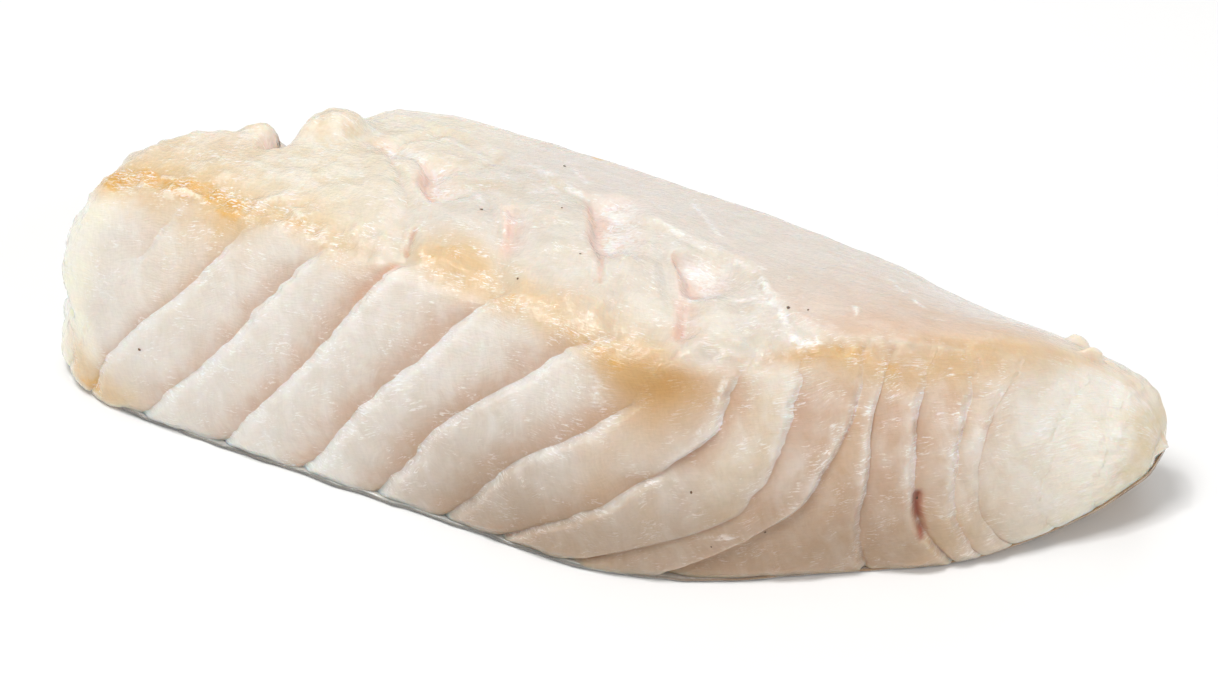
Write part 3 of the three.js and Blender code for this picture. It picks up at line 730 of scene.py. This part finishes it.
def crag_relief(g):
    """Height of the crags on the ridge and round the thick end, and of the crumbs on them."""
    g.crumbs = noises(g.smooth, *CRUMBS)
    on_ridge = bell(g.v + 0.02, 0.09) * ramp(66, 40, g.x)
    crags = np.maximum(on_ridge, 0.9 * ramp(9, 0, g.from_end))
    from_band = g.v - straight_at(BAND_MIDDLE_V, g.x)
    g.film_net = bell(from_band, 0.1) * ramp(-30, -22, g.x) * ramp(16, 9, g.x)
    on_end_block = ramp(-28, -48, g.x) * ramp(0.02, -0.05, g.v) * ramp(-1.0, -0.75, g.v)
    g.crumbly = np.maximum(straight_at(BAND_STRENGTH, g.x) * bell(from_band, 0.085),
                           0.45 * on_end_block)
    return crags * (noises(g.smooth, CRAG) + 0.65 * g.crumbs) + 0.55 * g.crumbly * g.crumbs


def end_relief(g):
    """Height of the unevenness at both ends, and of the notch beside the thick end's rim."""
    notch_v, notch_half, notch_reach, notch_depth = NOTCH
    notch = bell(g.near_v - notch_v, notch_half, 4) * ramp(notch_reach, 1, g.from_end)
    at_rim = ramp(7, 1, g.from_end)
    at_tip = ramp(66, 73, g.x) * (g.v < 0.9)
    return (at_rim * noises(g.smooth, *RIM_RELIEF) + at_tip * noises(g.smooth, *TIP_RELIEF)
            - notch_depth * notch)


def grain_relief(g):
    """Height of the soft swells, the grain and the fibres, roughest on the flakes' proud edges."""
    edge = np.maximum(g.proud_left * bell(g.from_left, 1.3), g.proud_right * bell(g.from_right, 1.3))
    grain = layered_noise(g.smooth, 1.2, 51)
    fibre_space = xyz(g.x * 0.16 + 0.05 * g.v * V_TO_MM, g.v * V_TO_MM, 0)
    return (noises(g.smooth, *SWELLS) + (0.03 + 0.3 * g.on_near * edge * g.crowding) * grain
            + 0.04 * noise(fibre_space, 0.9, 53))


def film_relief(g):
    """Height of the white film edges and the faint lines."""
    torn = ramp(-0.3, 0.4, noise(g.smooth, 2.0, 62))
    broken = ramp(-0.35, 0.25, noise(g.smooth, 1.7, 63))
    films = [torn * on_path(path, g.near_x, g.near_v, FILM_HALF_WIDTH) for path in FILM_EDGES]
    lines = [0.75 * broken * on_path(path, g.x, g.v, LINE_HALF_WIDTH) for path in THIN_LINES]
    g.film = np.maximum.reduce(films + lines)
    return g.film * (0.12 + 0.3 * noise(g.smooth, 1.3, 61))


def settled(g, height):
    """The points, with each flake's foot a rounded lobe; the skin shows between the lobes."""
    between = np.abs(2 * g.t - 1) ** 4
    height = height - FOOT_GAP_DEPTH * ramp(0.84, 1, g.v) * between * g.crowding
    at_foot = mix(ramp(1, 0.94, g.v), 1.0, 0.6 * between)
    at_ends = ramp(TIP_X, TIP_X - 4, g.x) * mix(0.5, 1, ramp(0, 2, g.from_end))
    height = height * at_ends * at_foot * ramp(-1.5, -1.4, g.v)
    points = g.smooth + g.out * height[..., None]
    # The feet hang over the skin's edge, most at the thick end
    lip = ramp(0.86, 0.97, g.v) + ramp(-2.38, -2.48, g.v)
    hangs = ramp(-62, -69, g.x)
    points[..., 2] -= lip * (mix(0.3, 1.3, hangs) + 0.2 * noise(g.smooth, 2.5, 27))
    over_edge = mix(0.55, 0.9, hangs) + 0.3 * noise(g.smooth, 3.0, 28)
    points[..., 1] -= lip * ramp(72, 60, g.x) * over_edge
    return points


def overlaid(listed, x, v):
    """Patches laid one over the other, each as strong as its last number."""
    left_out = np.ones_like(x)
    for *place, strength in listed:
        left_out *= 1 - strength * blob(x, v, *place)
    return 1 - left_out


def browning(g):
    """How browned and how golden each point is."""
    browned = np.maximum.reduce([strength * blob(g.near_x, g.near_v, *place)
                                 for *place, strength in BROWNED])
    golden = overlaid(GOLDEN, g.near_x, g.near_v)
    for path, half_width, band, glow in BROWNED_BANDS:
        way = clamp01((g.x - path[0][0]) / (path[-1][0] - path[0][0]))
        away = path_distance(path, g.near_x, g.near_v)
        browned = np.maximum(browned, mix(*band, way) * bell(away, half_width))
        golden = 1 - (1 - golden) * (1 - mix(*glow, way) * bell(away, half_width * GLOW_SPREAD))
    return browned, golden


def colour_masks(g):
    """How strongly each colour, painted highlight and painted shade shows at each point of the
    flesh.
    """
    x, v, on_near, shown_near = g.x, g.v, g.on_near, g.shown_near
    browned, golden = browning(g)
    shown = v > -1.5
    stepped = clamp01(g.depth / 0.5)
    # How near a proud flake edge each point is, for the painted highlight and painted glints there
    edge = on_near * np.maximum(g.proud_left * np.exp(-g.from_left / 3.0),
                                g.proud_right * np.exp(-g.from_right / 1.8))
    # Along the creases at the flake boundaries, for painted shade there
    crease = shown * bell(np.minimum(g.from_left, g.from_right), 0.5) * clamp01(g.depth / 0.8)
    crease *= mix(0.25 * g.shown_on_top * g.flaked, shown_near * mix(0.4, 0.12, g.proud_left),
                  on_near)
    on_slope = ramp(0.02, -0.04, v - g.crest) * (v < 0)
    # Where the painted sheen and painted glints gather
    glints = [
        edge * mix(0.5 * g.calm, 1, shown_near) * stepped,
        0.35 * edge * ramp(0.5, 0.1, v) * g.calm + 0.3 * on_near,
        g.pit_films, g.film, 0.95 * g.crumbly, 0.36 * g.flaked * (v < 0), 0.7 * g.film_net,
        0.6 * ramp(46, 70, x) * ramp(0.9, 0.2, v) * (v > -0.1),
        0.4 * bell(v - g.crest, 0.06) * (v < 0) * ramp(-45, -30, x),
    ]
    warm_near = ramp(16, 34, x) * ramp(64, 52, x) * ramp(-0.1, 0.1, v)
    warm_slope = ramp(6, 46, x) * ramp(-1.0, -0.3, v) * on_slope
    is_ivory = (g.flake == IVORY_FLAKE_PLACE)[:, None]
    from_rim = g.from_end + 2.5 * noise(g.smooth, 6.0, 37)
    return {
        # Each flake's low side, for its peach tone with painted shade in it
        "low": on_near * shown_near * stepped * g.low * g.crowding * mix(0.75, 1, ramp(-62, -15, x)),
        "slit": np.maximum(g.slits, crease),
        "edge": edge * shown_near * stepped,
        "browned": browned,
        "golden": golden,
        "glints": clamp01(np.maximum.reduce(glints)),
        "crumbly": g.crumbly,
        "crumbs": clamp01(0.5 + 0.9 * g.crumbs),
        "creamy": ramp(-22, -40, x) * ramp(0.04, -0.06, v) * shown,
        "tip": ramp(46, 70, x) * shown,
        "tip_rim": ramp(69.5, 75, x + 2.5 * noise(g.smooth, 4.0, 36)) * shown,
        "stained": overlaid(STAINED, mix(x, g.near_x, 0.25), mix(v, g.near_v, 0.25)),
        "pink": g.pink,
        "near": on_near,
        "ivory": ramp(16, 3, from_rim) * shown * ramp(-0.1, 0.1, v),
        "ivory_flake": is_ivory * 0.75 * ramp(23, 27, x) * ramp(0.02, 0.14, v) * ramp(0.9, 0.6, v),
        "slope": on_slope,
        "warm": np.maximum(warm_near, warm_slope),
        # Darker towards the near foot: painted shade
        "under": ramp(0.3, 0.95, v) * ramp(-34, 0, x) * ramp(72, 50, x),
        "red": on_path(RED_CAVITY, x, v, 0.55) * ramp(-0.9, 0.2, noise(g.smooth, 1.6, 64)),
        "film": np.maximum.reduce([g.film, g.rim_of_slope, 0.6 * g.pit_films]),
    }


def fibre_places(g):
    """Where each point lies along and across the fibres, for the streaks that follow them."""
    turn = math.radians(FIBRE_TURN)
    along = g.x + 1.2 * noise(g.smooth, 4.5, 38)
    over = g.v * V_TO_MM + 1.6 * noise(g.smooth, 5.0, 39)
    return xyz(along * math.cos(turn) - over * math.sin(turn),
               along * math.sin(turn) + over * math.cos(turn), 0)


RELIEFS = [flake_relief, crest_relief, pit_relief, hump_relief, slit_relief, crag_relief,
           end_relief, grain_relief, film_relief]


def flesh_surface():
    """The flesh's grid, with its points, its colours' masks and its fibres."""
    g = flesh_grid()
    g.points = settled(g, sum(relief(g) for relief in RELIEFS))
    g.masks = colour_masks(g)
    g.fibres = fibre_places(g)
    return g


def cap(ring, bites, bulge, count, seed):
    """Rings that close an end like a soap film, from its rim inwards, and the point in the middle.

    Also returns how near the rim each ring is, as a share, and where the grooves between the
    end's layers are.
    """
    waves = np.fft.rfft(ring - xyz(bites, 0, 0), axis=0)
    waviness = np.arange(len(waves))[:, None]
    share = np.linspace(1, 0, count + 2)[1:-1, None]
    rings = np.stack([np.fft.irfft(waves * radius ** waviness, len(ring), axis=0)
                      for radius in share[:, 0]])
    inwards = 1 - share
    around = np.hypot(rings[..., 1] - END_LAYER_CENTRE[0], rings[..., 2] - END_LAYER_CENTRE[1])
    around += 0.8 * noise(rings, 9.0, seed + 2)
    grooves = bell(np.mod(around, END_LAYER) - END_LAYER / 2, END_GROOVE_HALF_WIDTH)
    grooves *= ramp(0.0, 0.15, inwards) * ramp(-0.3, 0.2, noise(rings, 8.0, seed + 3))
    rough = noises(rings, (0.45, 5.0, seed), (0.2, 1.8, seed + 1)) * (1 - share ** 2)
    outwards = np.sign(bulge) * (rough - END_GROOVE_DEPTH * grooves)
    rings[..., 0] += bulge * inwards ** 1.5 + outwards + bites * ramp(0.3, 0.85, share)
    return rings, ring.mean(0) + np.array([bulge, 0, 0]), share, grooves


def loft_faces(rings, count):
    """Quads between rings of points, and the fans to the single point at each end."""
    j = np.arange(count)
    after = (j + 1) % count
    base = 1 + np.arange(rings - 1)[:, None] * count
    quads = np.stack([base + j, base + count + j, base + count + after, base + after], -1)
    last = 1 + (rings - 1) * count
    end = 1 + rings * count
    fans = xyz(0, 1 + j, 1 + after).tolist() + xyz(last + j, end, last + after).tolist()
    return quads.reshape(-1, 4).tolist() + fans


def mesh_object(name, points, faces, material):
    mesh = bpy.data.meshes.new(name)
    mesh.from_pydata(points.tolist(), [], faces)
    mesh.materials.append(material)
    mesh.shade_smooth()
    made = bpy.data.objects.new(name, mesh)
    bpy.context.scene.collection.objects.link(made)
    return made


def give(made, name, values):
    """Stores a number or a vector for each point of a mesh."""
    kind, field = ("FLOAT_VECTOR", "vector") if values.ndim == 2 else ("FLOAT", "value")
    attribute = made.data.attributes.new(name, kind, "POINT")
    attribute.data.foreach_set(field, np.ascontiguousarray(values, dtype=np.float32).ravel())


class Shader:
    """A material's node tree, written as short calls, and the colour painted so far."""

    def __init__(self, name):
        self.material = bpy.data.materials.new(name)
        self.material.use_nodes = True
        self.tree = self.material.node_tree
        self.bsdf = self.tree.nodes["Principled BSDF"]
        self.colour = None

    def link(self, value, socket):
        if isinstance(value, bpy.types.NodeSocket):
            self.tree.links.new(value, socket)
        elif isinstance(value, tuple) and len(value) == 3 and len(socket.default_value) == 4:
            socket.default_value = (*value, 1.0)
        else:
            socket.default_value = value

    def node(self, kind, inputs, **settings):
        made = self.tree.nodes.new("ShaderNode" + kind)
        for key, value in settings.items():
            setattr(made, key, value)
        for key, value in inputs.items():
            self.link(value, made.inputs[key])
        return made

    def math(self, operation, a, b):
        return self.node("Math", {0: a, 1: b}, operation=operation).outputs[0]

    def plus(self, a, b):
        return self.math("ADD", a, b)

    def times(self, value, *others):
        for other in others:
            value = self.math("MULTIPLY", value, other)
        return value

    def ramp(self, value, low, high, to_low=0.0, to_high=1.0):
        inputs = {"Value": value, "From Min": low, "From Max": high, "To Min": to_low,
                  "To Max": to_high}
        return self.node("MapRange", inputs, interpolation_type="SMOOTHSTEP").outputs["Result"]

    def mixed(self, share, a, b):
        return self.node("Mix", {0: share, 6: a, 7: b}, data_type="RGBA").outputs[2]

    def paint(self, colour, *shares):
        """Lays a colour over the one painted so far, as strongly as the shares' product."""
        self.colour = self.mixed(self.times(*shares), self.colour, colour)

    def attribute(self, name, output="Fac"):
        return self.node("Attribute", {}, attribute_name=name).outputs[output]

    def scaled(self, vector, factors):
        return self.node("VectorMath", {0: vector, 1: factors}, operation="MULTIPLY").outputs[0]

    def noise(self, vector, size, detail=3.0, roughness=0.55, distortion=0.0):
        """Noise with bumps of about the given size in the vector's own unit, from about 0 to 1."""
        inputs = {"Vector": vector, "Scale": 1.0 / size, "Detail": detail,
                  "Roughness": roughness, "Distortion": distortion}
        return self.node("TexNoise", inputs).outputs["Fac"]

    def bumped(self, height, distance, strength=1.0, normal=None):
        inputs = {"Height": height, "Distance": distance, "Strength": strength}
        if normal is not None:
            inputs["Normal"] = normal
        return self.node("Bump", inputs).outputs["Normal"]

    def set(self, **inputs):
        for key, value in inputs.items():
            self.link(value, self.bsdf.inputs[key.replace("_", " ")])

    def place_mm(self):
        """Where the point is on the fillet, in millimetres."""
        return self.scaled(self.node("TexCoord", {}).outputs["Object"], (1 / MM, 1 / MM, 1 / MM))


def flesh_material():
    s = Shader("cooked_flesh")
    mask = s.attribute
    place = s.place_mm()
    fibres = mask("fibres", "Vector")
    broad = s.noise(place, 11.0)
    patchy = s.noise(place, 3.2, 4.0, 0.6)
    soft = s.noise(place, 4.5, 3.0, 0.6)
    fine = s.noise(place, 0.7, 3.0, 0.6)
    bumps = s.noise(place, 1.5, 2.0, 0.5)
    lengthwise = s.noise(s.scaled(fibres, (0.25, 1.0, 1.0)), 0.32, 2.0, 0.5)
    crosswise = s.noise(s.scaled(fibres, (1.0, 0.18, 1.0)), 0.35, 2.0, 0.5)
    dashes = s.noise(s.scaled(fibres, (0.26, 1.0, 1.0)), 0.3, 2.0, 0.6, 1.1)
    gleams = s.noise(s.scaled(fibres, (0.45, 1.0, 1.0)), 0.55, 2.0, 0.6, 1.0)
    streaks = s.noise(s.scaled(fibres, (1.0, 0.3, 1.0)), 3.0, 3.0, 0.55, 0.3)

    s.colour = s.mixed(s.ramp(broad, 0.35, 0.65), FLESH_CREAM, FLESH_PINKISH)
    # The near side: its own pinker tone, painted lighter than the top as painted light
    s.paint(NEAR_SIDE, mask("near"), 0.85)
    s.paint(SLOPE_PALE, mask("slope"))
    s.paint(WARM_TAN, mask("warm"), s.ramp(broad, 0.3, 0.7, 0.7))
    s.paint(CREAM_YELLOW, mask("creamy"), s.ramp(soft, 0.3, 0.7, 0.65))
    s.paint(TIP_CREAM, mask("tip"), s.ramp(soft, 0.3, 0.7, 0.6, 0.85))
    s.paint(TIP_TAN, mask("tip_rim"), 0.7)
    s.paint(IVORY, s.ramp(mask("ivory"), 0.1, 1.0))
    s.paint(IVORY_FLAKE, mask("ivory_flake"))
    # Peach on each flake's low side: partly the flesh's own tone, partly painted shade where the
    # side turns from the light
    low = s.times(mask("low"), s.ramp(patchy, 0.2, 0.6, 0.7))
    s.paint(PEACH, s.ramp(low, 0.15, 0.9, 0.0, 0.95))
    # Painted highlight: the flakes' proud edges lightened where the light falls on them
    rim = s.times(mask("edge"), s.ramp(patchy, 0.3, 0.6, 0.6))
    s.paint(PAINTED_SHEEN, s.ramp(rim, 0.15, 0.85, 0.0, 0.6))
    # Painted shade over the lower near side
    s.paint(TAN_SHADE, mask("under"), 0.85)
    # The slits' own colour, and painted shade in the creases between flakes
    s.paint(SLIT, mask("slit"), s.ramp(patchy, 0.3, 0.6, 0.5, 0.9))
    # Pink in the pits: partly their own tone, partly painted shade on the walls
    s.paint(PIT_PINK, mask("pink"), 0.85)
    stained = s.plus(mask("stained"), s.ramp(broad, 0.3, 0.7, -0.05, 0.05))
    s.paint(STAIN, s.ramp(stained, 0.05, 0.9, 0.0, 0.95))
    golden = s.times(mask("golden"), s.ramp(soft, 0.3, 0.65, 0.65))
    s.paint(GOLDEN_GLOW, s.ramp(golden, 0.0, 1.0, 0.0, 0.9))
    browned = s.plus(mask("browned"), s.ramp(patchy, 0.3, 0.7, -0.35, 0.25))
    s.paint(GOLD, s.ramp(browned, 0.25, 0.95, 0.0, 0.85))
    s.paint(BROWN, s.ramp(browned, 0.75, 1.5, 0.0, 0.85))
    # The crumbs: painted highlights on their tops, golden colour with painted shade between them
    crumb = s.plus(mask("crumbs"), s.ramp(fine, 0.3, 0.7, -0.22, 0.22))
    crumbly = mask("crumbly")
    s.paint(CRUMB_GOLD_AND_SHADE, s.ramp(crumb, 0.55, 0.2), s.ramp(crumbly, 0.1, 0.8, 0.0, 0.55))
    s.paint(CRUMB_HIGHLIGHT, s.ramp(crumb, 0.58, 0.9), s.ramp(crumbly, 0.05, 0.8, 0.0, 0.6))
    s.paint(FILM_WHITE, mask("film"), s.ramp(fine, 0.38, 0.6, 0.15))
    weave = s.plus(s.ramp(lengthwise, 0.3, 0.7, -0.5, 0.5), s.ramp(crosswise, 0.3, 0.7, -0.5, 0.5))
    weave = s.times(weave, s.ramp(soft, 0.3, 0.7, 0.5))
    tone = s.ramp(weave, -0.8, 0.8, 0.955, 1.03)
    s.colour = s.node("VectorMath", {0: s.colour, 3: tone}, operation="SCALE").outputs[0]

    # The wet sheen, painted into the colour: soft pale areas, light streaks and, in loose clusters,
    # fine white dashes that are painted glints
    plain = s.times(s.ramp(golden, 0.1, 0.8, 1.0, 0.15),
                    s.ramp(mask("stained"), 0.05, 0.5, 1.0, 0.05),
                    s.ramp(mask("under"), 0.0, 1.0, 1.0, 0.25), s.ramp(low, 0.15, 0.8, 1.0, 0.4))
    s.paint(PAINTED_SHEEN, s.ramp(soft, 0.38, 0.62), s.ramp(mask("glints"), 0.1, 0.9, 0.15, 0.7), plain)
    # Painted light streaks along the fibres on the near side
    s.paint(PAINTED_SHEEN, s.ramp(streaks, 0.42, 0.72, 0.0, 0.4), mask("near"), plain)
    cluster = s.plus(mask("glints"), s.ramp(patchy, 0.38, 0.62, -0.45, 0.35))
    dim = s.times(s.ramp(mask("under"), 0.0, 1.0, 0.85, 0.3),
                  s.ramp(mask("stained"), 0.1, 0.7, 1.0, 0.3))
    s.paint(GLINT, s.ramp(dashes, 0.55, 0.62), s.ramp(cluster, 0.2, 0.95), dim)
    s.paint(GLINT, s.ramp(gleams, 0.54, 0.64), s.ramp(cluster, 0.65, 1.25, 0.0, 0.9), dim)
    s.paint(CAVITY_RED, mask("red"))

    uneven = s.bumped(bumps, 0.0002, 0.8)
    rough = s.times(s.ramp(crumbly, 0.0, 0.8, 0.25), fine)
    wet = s.bumped(lengthwise, 0.00006, 0.8, s.bumped(rough, 0.0006, 1.0, uneven))
    height = s.plus(s.times(lengthwise, 0.8), s.times(crosswise, 0.4))
    height = s.plus(height, s.times(fine, 0.5))
    height = s.times(height, s.ramp(mask("slope"), 0.0, 1.0, 1.0, 0.25))
    s.set(Base_Color=s.colour, Roughness=s.ramp(patchy, 0.3, 0.7, 0.38, 0.52),
          Specular_IOR_Level=0.3, Normal=s.bumped(height, 0.00016, 0.7),
          Subsurface_Weight=0.75, Subsurface_Scale=0.003, Subsurface_Radius=(1.0, 0.55, 0.35),
          Coat_Weight=1.0, Coat_Roughness=0.12, Coat_IOR=1.36, Coat_Normal=wet)
    return s.material


def skin_material():
    s = Shader("fish_skin")
    mask = s.attribute
    place = s.place_mm()
    streaks = s.noise(s.scaled(place, (0.12, 1.0, 1.0)), 0.5, 3.0, 0.6)
    mottled = s.noise(place, 2.4, 4.0, 0.6)
    scales = s.node("TexVoronoi", {"Vector": s.scaled(place, (0.55, 0.8, 0.2)), "Scale": 0.5},
                    feature="SMOOTH_F1").outputs["Distance"]
    under = mask("underside")
    toward_tip = mask("toward_tip")
    s.colour = s.mixed(s.ramp(mottled, 0.3, 0.7), *SKIN_SILVER)
    s.paint(s.mixed(s.ramp(mottled, 0.3, 0.7), *SKIN_BROWN), toward_tip)
    s.paint(SKIN_GOLDEN, mask("golden"), s.ramp(mottled, 0.3, 0.6, 0.4))
    s.paint(s.mixed(toward_tip, *SKIN_RIM), mask("rim"), 0.8)
    s.paint(MEMBRANE, mask("membrane"), s.ramp(mottled, 0.35, 0.6, 0.2, 0.9))
    s.paint(SCALE_DARK, under, s.ramp(scales, 0.2, 0.6, 0.0, 0.6))
    height = s.plus(streaks, s.times(scales, under, 2.0))
    s.set(Base_Color=s.colour, Roughness=s.ramp(streaks, 0.3, 0.7, 0.22, 0.42),
          Normal=s.bumped(height, 0.0003, 0.7), Coat_Weight=0.7, Coat_Roughness=0.1,
          Subsurface_Weight=0.15, Subsurface_Scale=0.002)
    return s.material


def speck_material():
    s = Shader("dark_specks")
    mottled = s.noise(s.place_mm(), 0.3)
    s.set(Base_Color=s.mixed(mottled, *SPECK_COLOURS), Roughness=0.5,
          Normal=s.bumped(mottled, 0.0002))
    return s.material


def floor_material():
    s = Shader("pale_floor")
    mottled = s.noise(s.place_mm(), 40.0)
    s.set(Base_Color=s.mixed(mottled, *FLOOR_COLOURS), Roughness=0.7)
    return s.material


def skin_surface():
    """Top and underside points of the skin, as grids of columns along x and rows across."""
    u, s = np.meshgrid(np.linspace(0, 1, SKIN_COLUMNS + 1), np.linspace(0, 1, SKIN_ROWS + 1),
                       indexing="ij")
    s = mix(s, s * s * (3 - 2 * s), 0.6)
    outer = np.abs(2 * s - 1)
    flesh_x = mix(curve_at(THICK_END, s - 2.5), TIP_X, u)
    near_y, far_y = curve_at(NEAR_EDGE_Y, flesh_x), curve_at(FAR_EDGE_Y, flesh_x)
    half = (far_y - near_y) / 2
    edge = xyz(flesh_x, np.where(s < 0.5, 0.0, 50.0), 0)
    wave = noises(edge, *SKIN_EDGE_WAVES) - SKIN_EDGE_DRAWN_IN
    tucked = (2.4 * ramp(-64, -70, flesh_x) + 0.8 * ramp(30, 60, flesh_x)) * (s < 0.5)
    overhang = SKIN_OVERHANG + (wave - tucked) * outer ** 8
    x = flesh_x + SKIN_OVERHANG * mix(1, 0.2, u) * (2 * u - 1) ** 3 + 3.0 * ramp(0.04, 0, u)
    y = mix(near_y + half, surface_point(flesh_x, s - 2.5)[..., 1], 1 + overhang / half)
    ripple = 0.12 * (1 + noise(xyz(x, y, 0), 5.0, 73)) * outer ** 3
    z = skin_bottom(flesh_x, s) + ripple
    edge_thickness = SKIN_EDGE_THICKNESS + 0.2 * noise(edge, 3.0, 74)
    thickness = mix(SKIN_THICKNESS, edge_thickness, outer ** 10)
    return xyz(x, y, z + thickness), xyz(x, y, z)


def skin_mesh(material, to_frame):
    upper, lower = skin_surface()
    columns, rows = upper.shape[:2]
    # Round the sheet: over the top, down the far side, back under and up the near side
    lip = np.linspace(0, 1, SKIN_SIDE_ROWS + 2)[1:-1]

    def side(a, b, way):
        between = mix(a[:, None, :], b[:, None, :], lip[None, :, None])
        between[..., 1] += way * SKIN_EDGE_BULGE * np.sin(np.pi * lip)
        return between
    ring = np.concatenate([upper, side(upper[:, -1], lower[:, -1], 1), lower[:, ::-1],
                           side(lower[:, 0], upper[:, 0], -1)], 1)
    points = np.concatenate([ring[0].mean(0)[None], ring.reshape(-1, 3), ring[-1].mean(0)[None]])
    faces = loft_faces(columns, ring.shape[1])
    made = mesh_object("fillet_skin", to_frame(points), faces, material)
    # How far down the sheet's side each point is: 0 on top, 1 underneath
    down = np.concatenate([np.zeros(rows), lip, np.ones(rows), 1 - lip])
    down = np.concatenate([[0], np.tile(down, columns), [0]])
    x = points[:, 0]
    give(made, "toward_tip", ramp(10, 42, x))
    give(made, "golden", 0.8 * ramp(48, 66, x))
    give(made, "rim", ramp(0.0, 0.2, down) * (down < 1))
    give(made, "membrane", ramp(0.45, 0.75, down) * (down < 1) * ramp(-5, 40, x))
    give(made, "underside", (down >= 1).astype(float))
    return made


def flesh_mesh(material, to_frame, g):
    """The flesh, closed at both ends."""
    bites = rim_bites(ring_of_v())
    thick, thick_middle, thick_share, grooves = cap(g.points[0], bites, -THICK_END_BULGE,
                                                    THICK_CAP_RINGS, 81)
    tip, tip_middle, tip_share, _ = cap(g.points[-1], 0 * bites, TIP_BULGE, TIP_CAP_RINGS, 83)
    rings = np.concatenate([thick[::-1], g.points, tip])
    points = np.concatenate([thick_middle[None], rings.reshape(-1, 3), tip_middle[None]])
    faces = loft_faces(len(rings), rings.shape[1])
    made = mesh_object("fillet_flesh", to_frame(points), faces, material)

    def in_one_list(first, middle, last):
        whole = np.concatenate([first[::-1], middle, last])
        whole = whole.reshape(-1, *whole.shape[2:])
        return np.concatenate([whole[:1], whole, whole[-1:]])
    # The masks fade away from the rim on both end faces, and the thick end's grooves are slits
    least = {"slit": 0.6 * grooves, "glints": 0.35}
    for name, values in g.masks.items():
        first = np.maximum(values[:1] * thick_share ** 3, least.get(name, 0.0))
        give(made, name, in_one_list(first, values, values[-1:] * tip_share))
    give(made, "fibres", in_one_list(thick[..., [2, 1, 0]], g.fibres, tip[..., [2, 1, 0]]))
    return made


def specks_mesh(material, to_frame, g):
    """Uneven little lumps, half sunk in the flesh, joined in one mesh."""
    sizes = np.random.default_rng(5).uniform(*SPECK_SIZES, len(SPECKS))
    draw = np.random.default_rng(91)
    shape = bmesh.new()
    bmesh.ops.create_icosphere(shape, subdivisions=2, radius=1.0)
    unit = np.array([vert.co for vert in shape.verts])
    triangles = np.array([[vert.index for vert in face.verts] for face in shape.faces])
    shape.free()
    points, faces = [], []
    for k, ((at_x, at_v), size) in enumerate(zip(SPECKS, sizes)):
        away = np.hypot(g.x - at_x, (g.v - at_v) * V_TO_MM)
        at = np.unravel_index(np.argmin(away), away.shape)
        side = np.cross(g.out[at], [0.3, 1.0, 0.2])
        side /= np.linalg.norm(side)
        other = np.cross(g.out[at], side)
        stretch = draw.uniform(0.7, 1.4, 2)
        turn = draw.uniform(0, math.tau)
        axes = np.stack([stretch[0] * (math.cos(turn) * side + math.sin(turn) * other),
                         stretch[1] * (math.cos(turn) * other - math.sin(turn) * side),
                         SPECK_FLATNESS * g.out[at]])
        lumps = 1 + 0.35 * noise(unit * 1.5 + k * 5.1, 1.0, 91)
        points.append(g.points[at] + (unit * lumps[:, None] * size) @ axes)
        faces.append(triangles + len(unit) * k)
    return mesh_object("specks", to_frame(np.concatenate(points)),
                       np.concatenate(faces).tolist(), material)


def add_pointing(made, direction):
    """Puts a lamp or the camera in the scene, pointing along the direction."""
    made.rotation_mode = "QUATERNION"
    made.rotation_quaternion = Vector(direction).to_track_quat("-Z", "Y")
    bpy.context.scene.collection.objects.link(made)


def studio():
    """Soft light from a pale world and six round lamps, over a pale floor."""
    scene = bpy.context.scene
    scene.view_settings.view_transform = "Standard"
    scene.world = bpy.data.worlds.new("studio")
    scene.world.use_nodes = True
    background = scene.world.node_tree.nodes["Background"]
    background.inputs["Color"].default_value = WORLD_COLOUR
    background.inputs["Strength"].default_value = WORLD_STRENGTH
    for name, place, across, power in LAMPS:
        lamp = bpy.data.objects.new(name, bpy.data.lights.new(name, "AREA"))
        lamp.data.shape = "DISK"
        lamp.data.size = across * MM
        lamp.data.energy = power
        lamp.location = np.array(place) * MM
        add_pointing(lamp, np.array(LAMPS_AIM) - np.array(place))
    half = FLOOR_SIZE_M / 2
    corners = np.array([(-half, -half, 0), (half, -half, 0), (half, half, 0), (-half, half, 0)])
    floor = mesh_object("floor", corners, [(0, 1, 2, 3)], floor_material())


def camera(to_frame):
    azimuth, elevation = math.radians(VIEW_AZIMUTH), math.radians(VIEW_ELEVATION)
    back = np.array([math.sin(azimuth) * math.cos(elevation),
                     -math.cos(azimuth) * math.cos(elevation), math.sin(elevation)])
    made = bpy.data.objects.new("camera", bpy.data.cameras.new("camera"))
    made.data.lens = LENS
    made.data.sensor_width = SENSOR_WIDTH
    made.data.clip_start = NEAREST_SEEN
    made.data.clip_end = FURTHEST_SEEN
    made.location = to_frame(np.array(LOOK_AT) + VIEW_DISTANCE * back)
    add_pointing(made, -back)
    bpy.context.scene.camera = made


def build():
    # The shift from the fillet's own millimetres to the frame, found from the skin's edges
    skin_low, skin_high = np.array(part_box("skin")) / MM
    own_high_x = TIP_X + SKIN_OVERHANG
    own_low_y = curve_at(NEAR_EDGE_Y, np.linspace(-82, 75, 2000)).min() - SKIN_OVERHANG
    shift = np.array([skin_high[0] - own_high_x, skin_low[1] - own_low_y, 0.0])

    def to_frame(points):
        return (np.asarray(points) + shift) * MM

    def fitted(points):
        """In the frame, with nothing past the CAD solids' box."""
        return np.clip(to_frame(points), CAD_BOX[0], CAD_BOX[1])
    studio()
    camera(to_frame)
    surface = flesh_surface()
    flesh = flesh_mesh(flesh_material(), fitted, surface)
    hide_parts("flesh")
    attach(flesh, "root")
    skin = skin_mesh(skin_material(), fitted)
    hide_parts("skin")
    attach(skin, "root")
    specks = specks_mesh(speck_material(), fitted, surface)
    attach(specks, "root")


build()
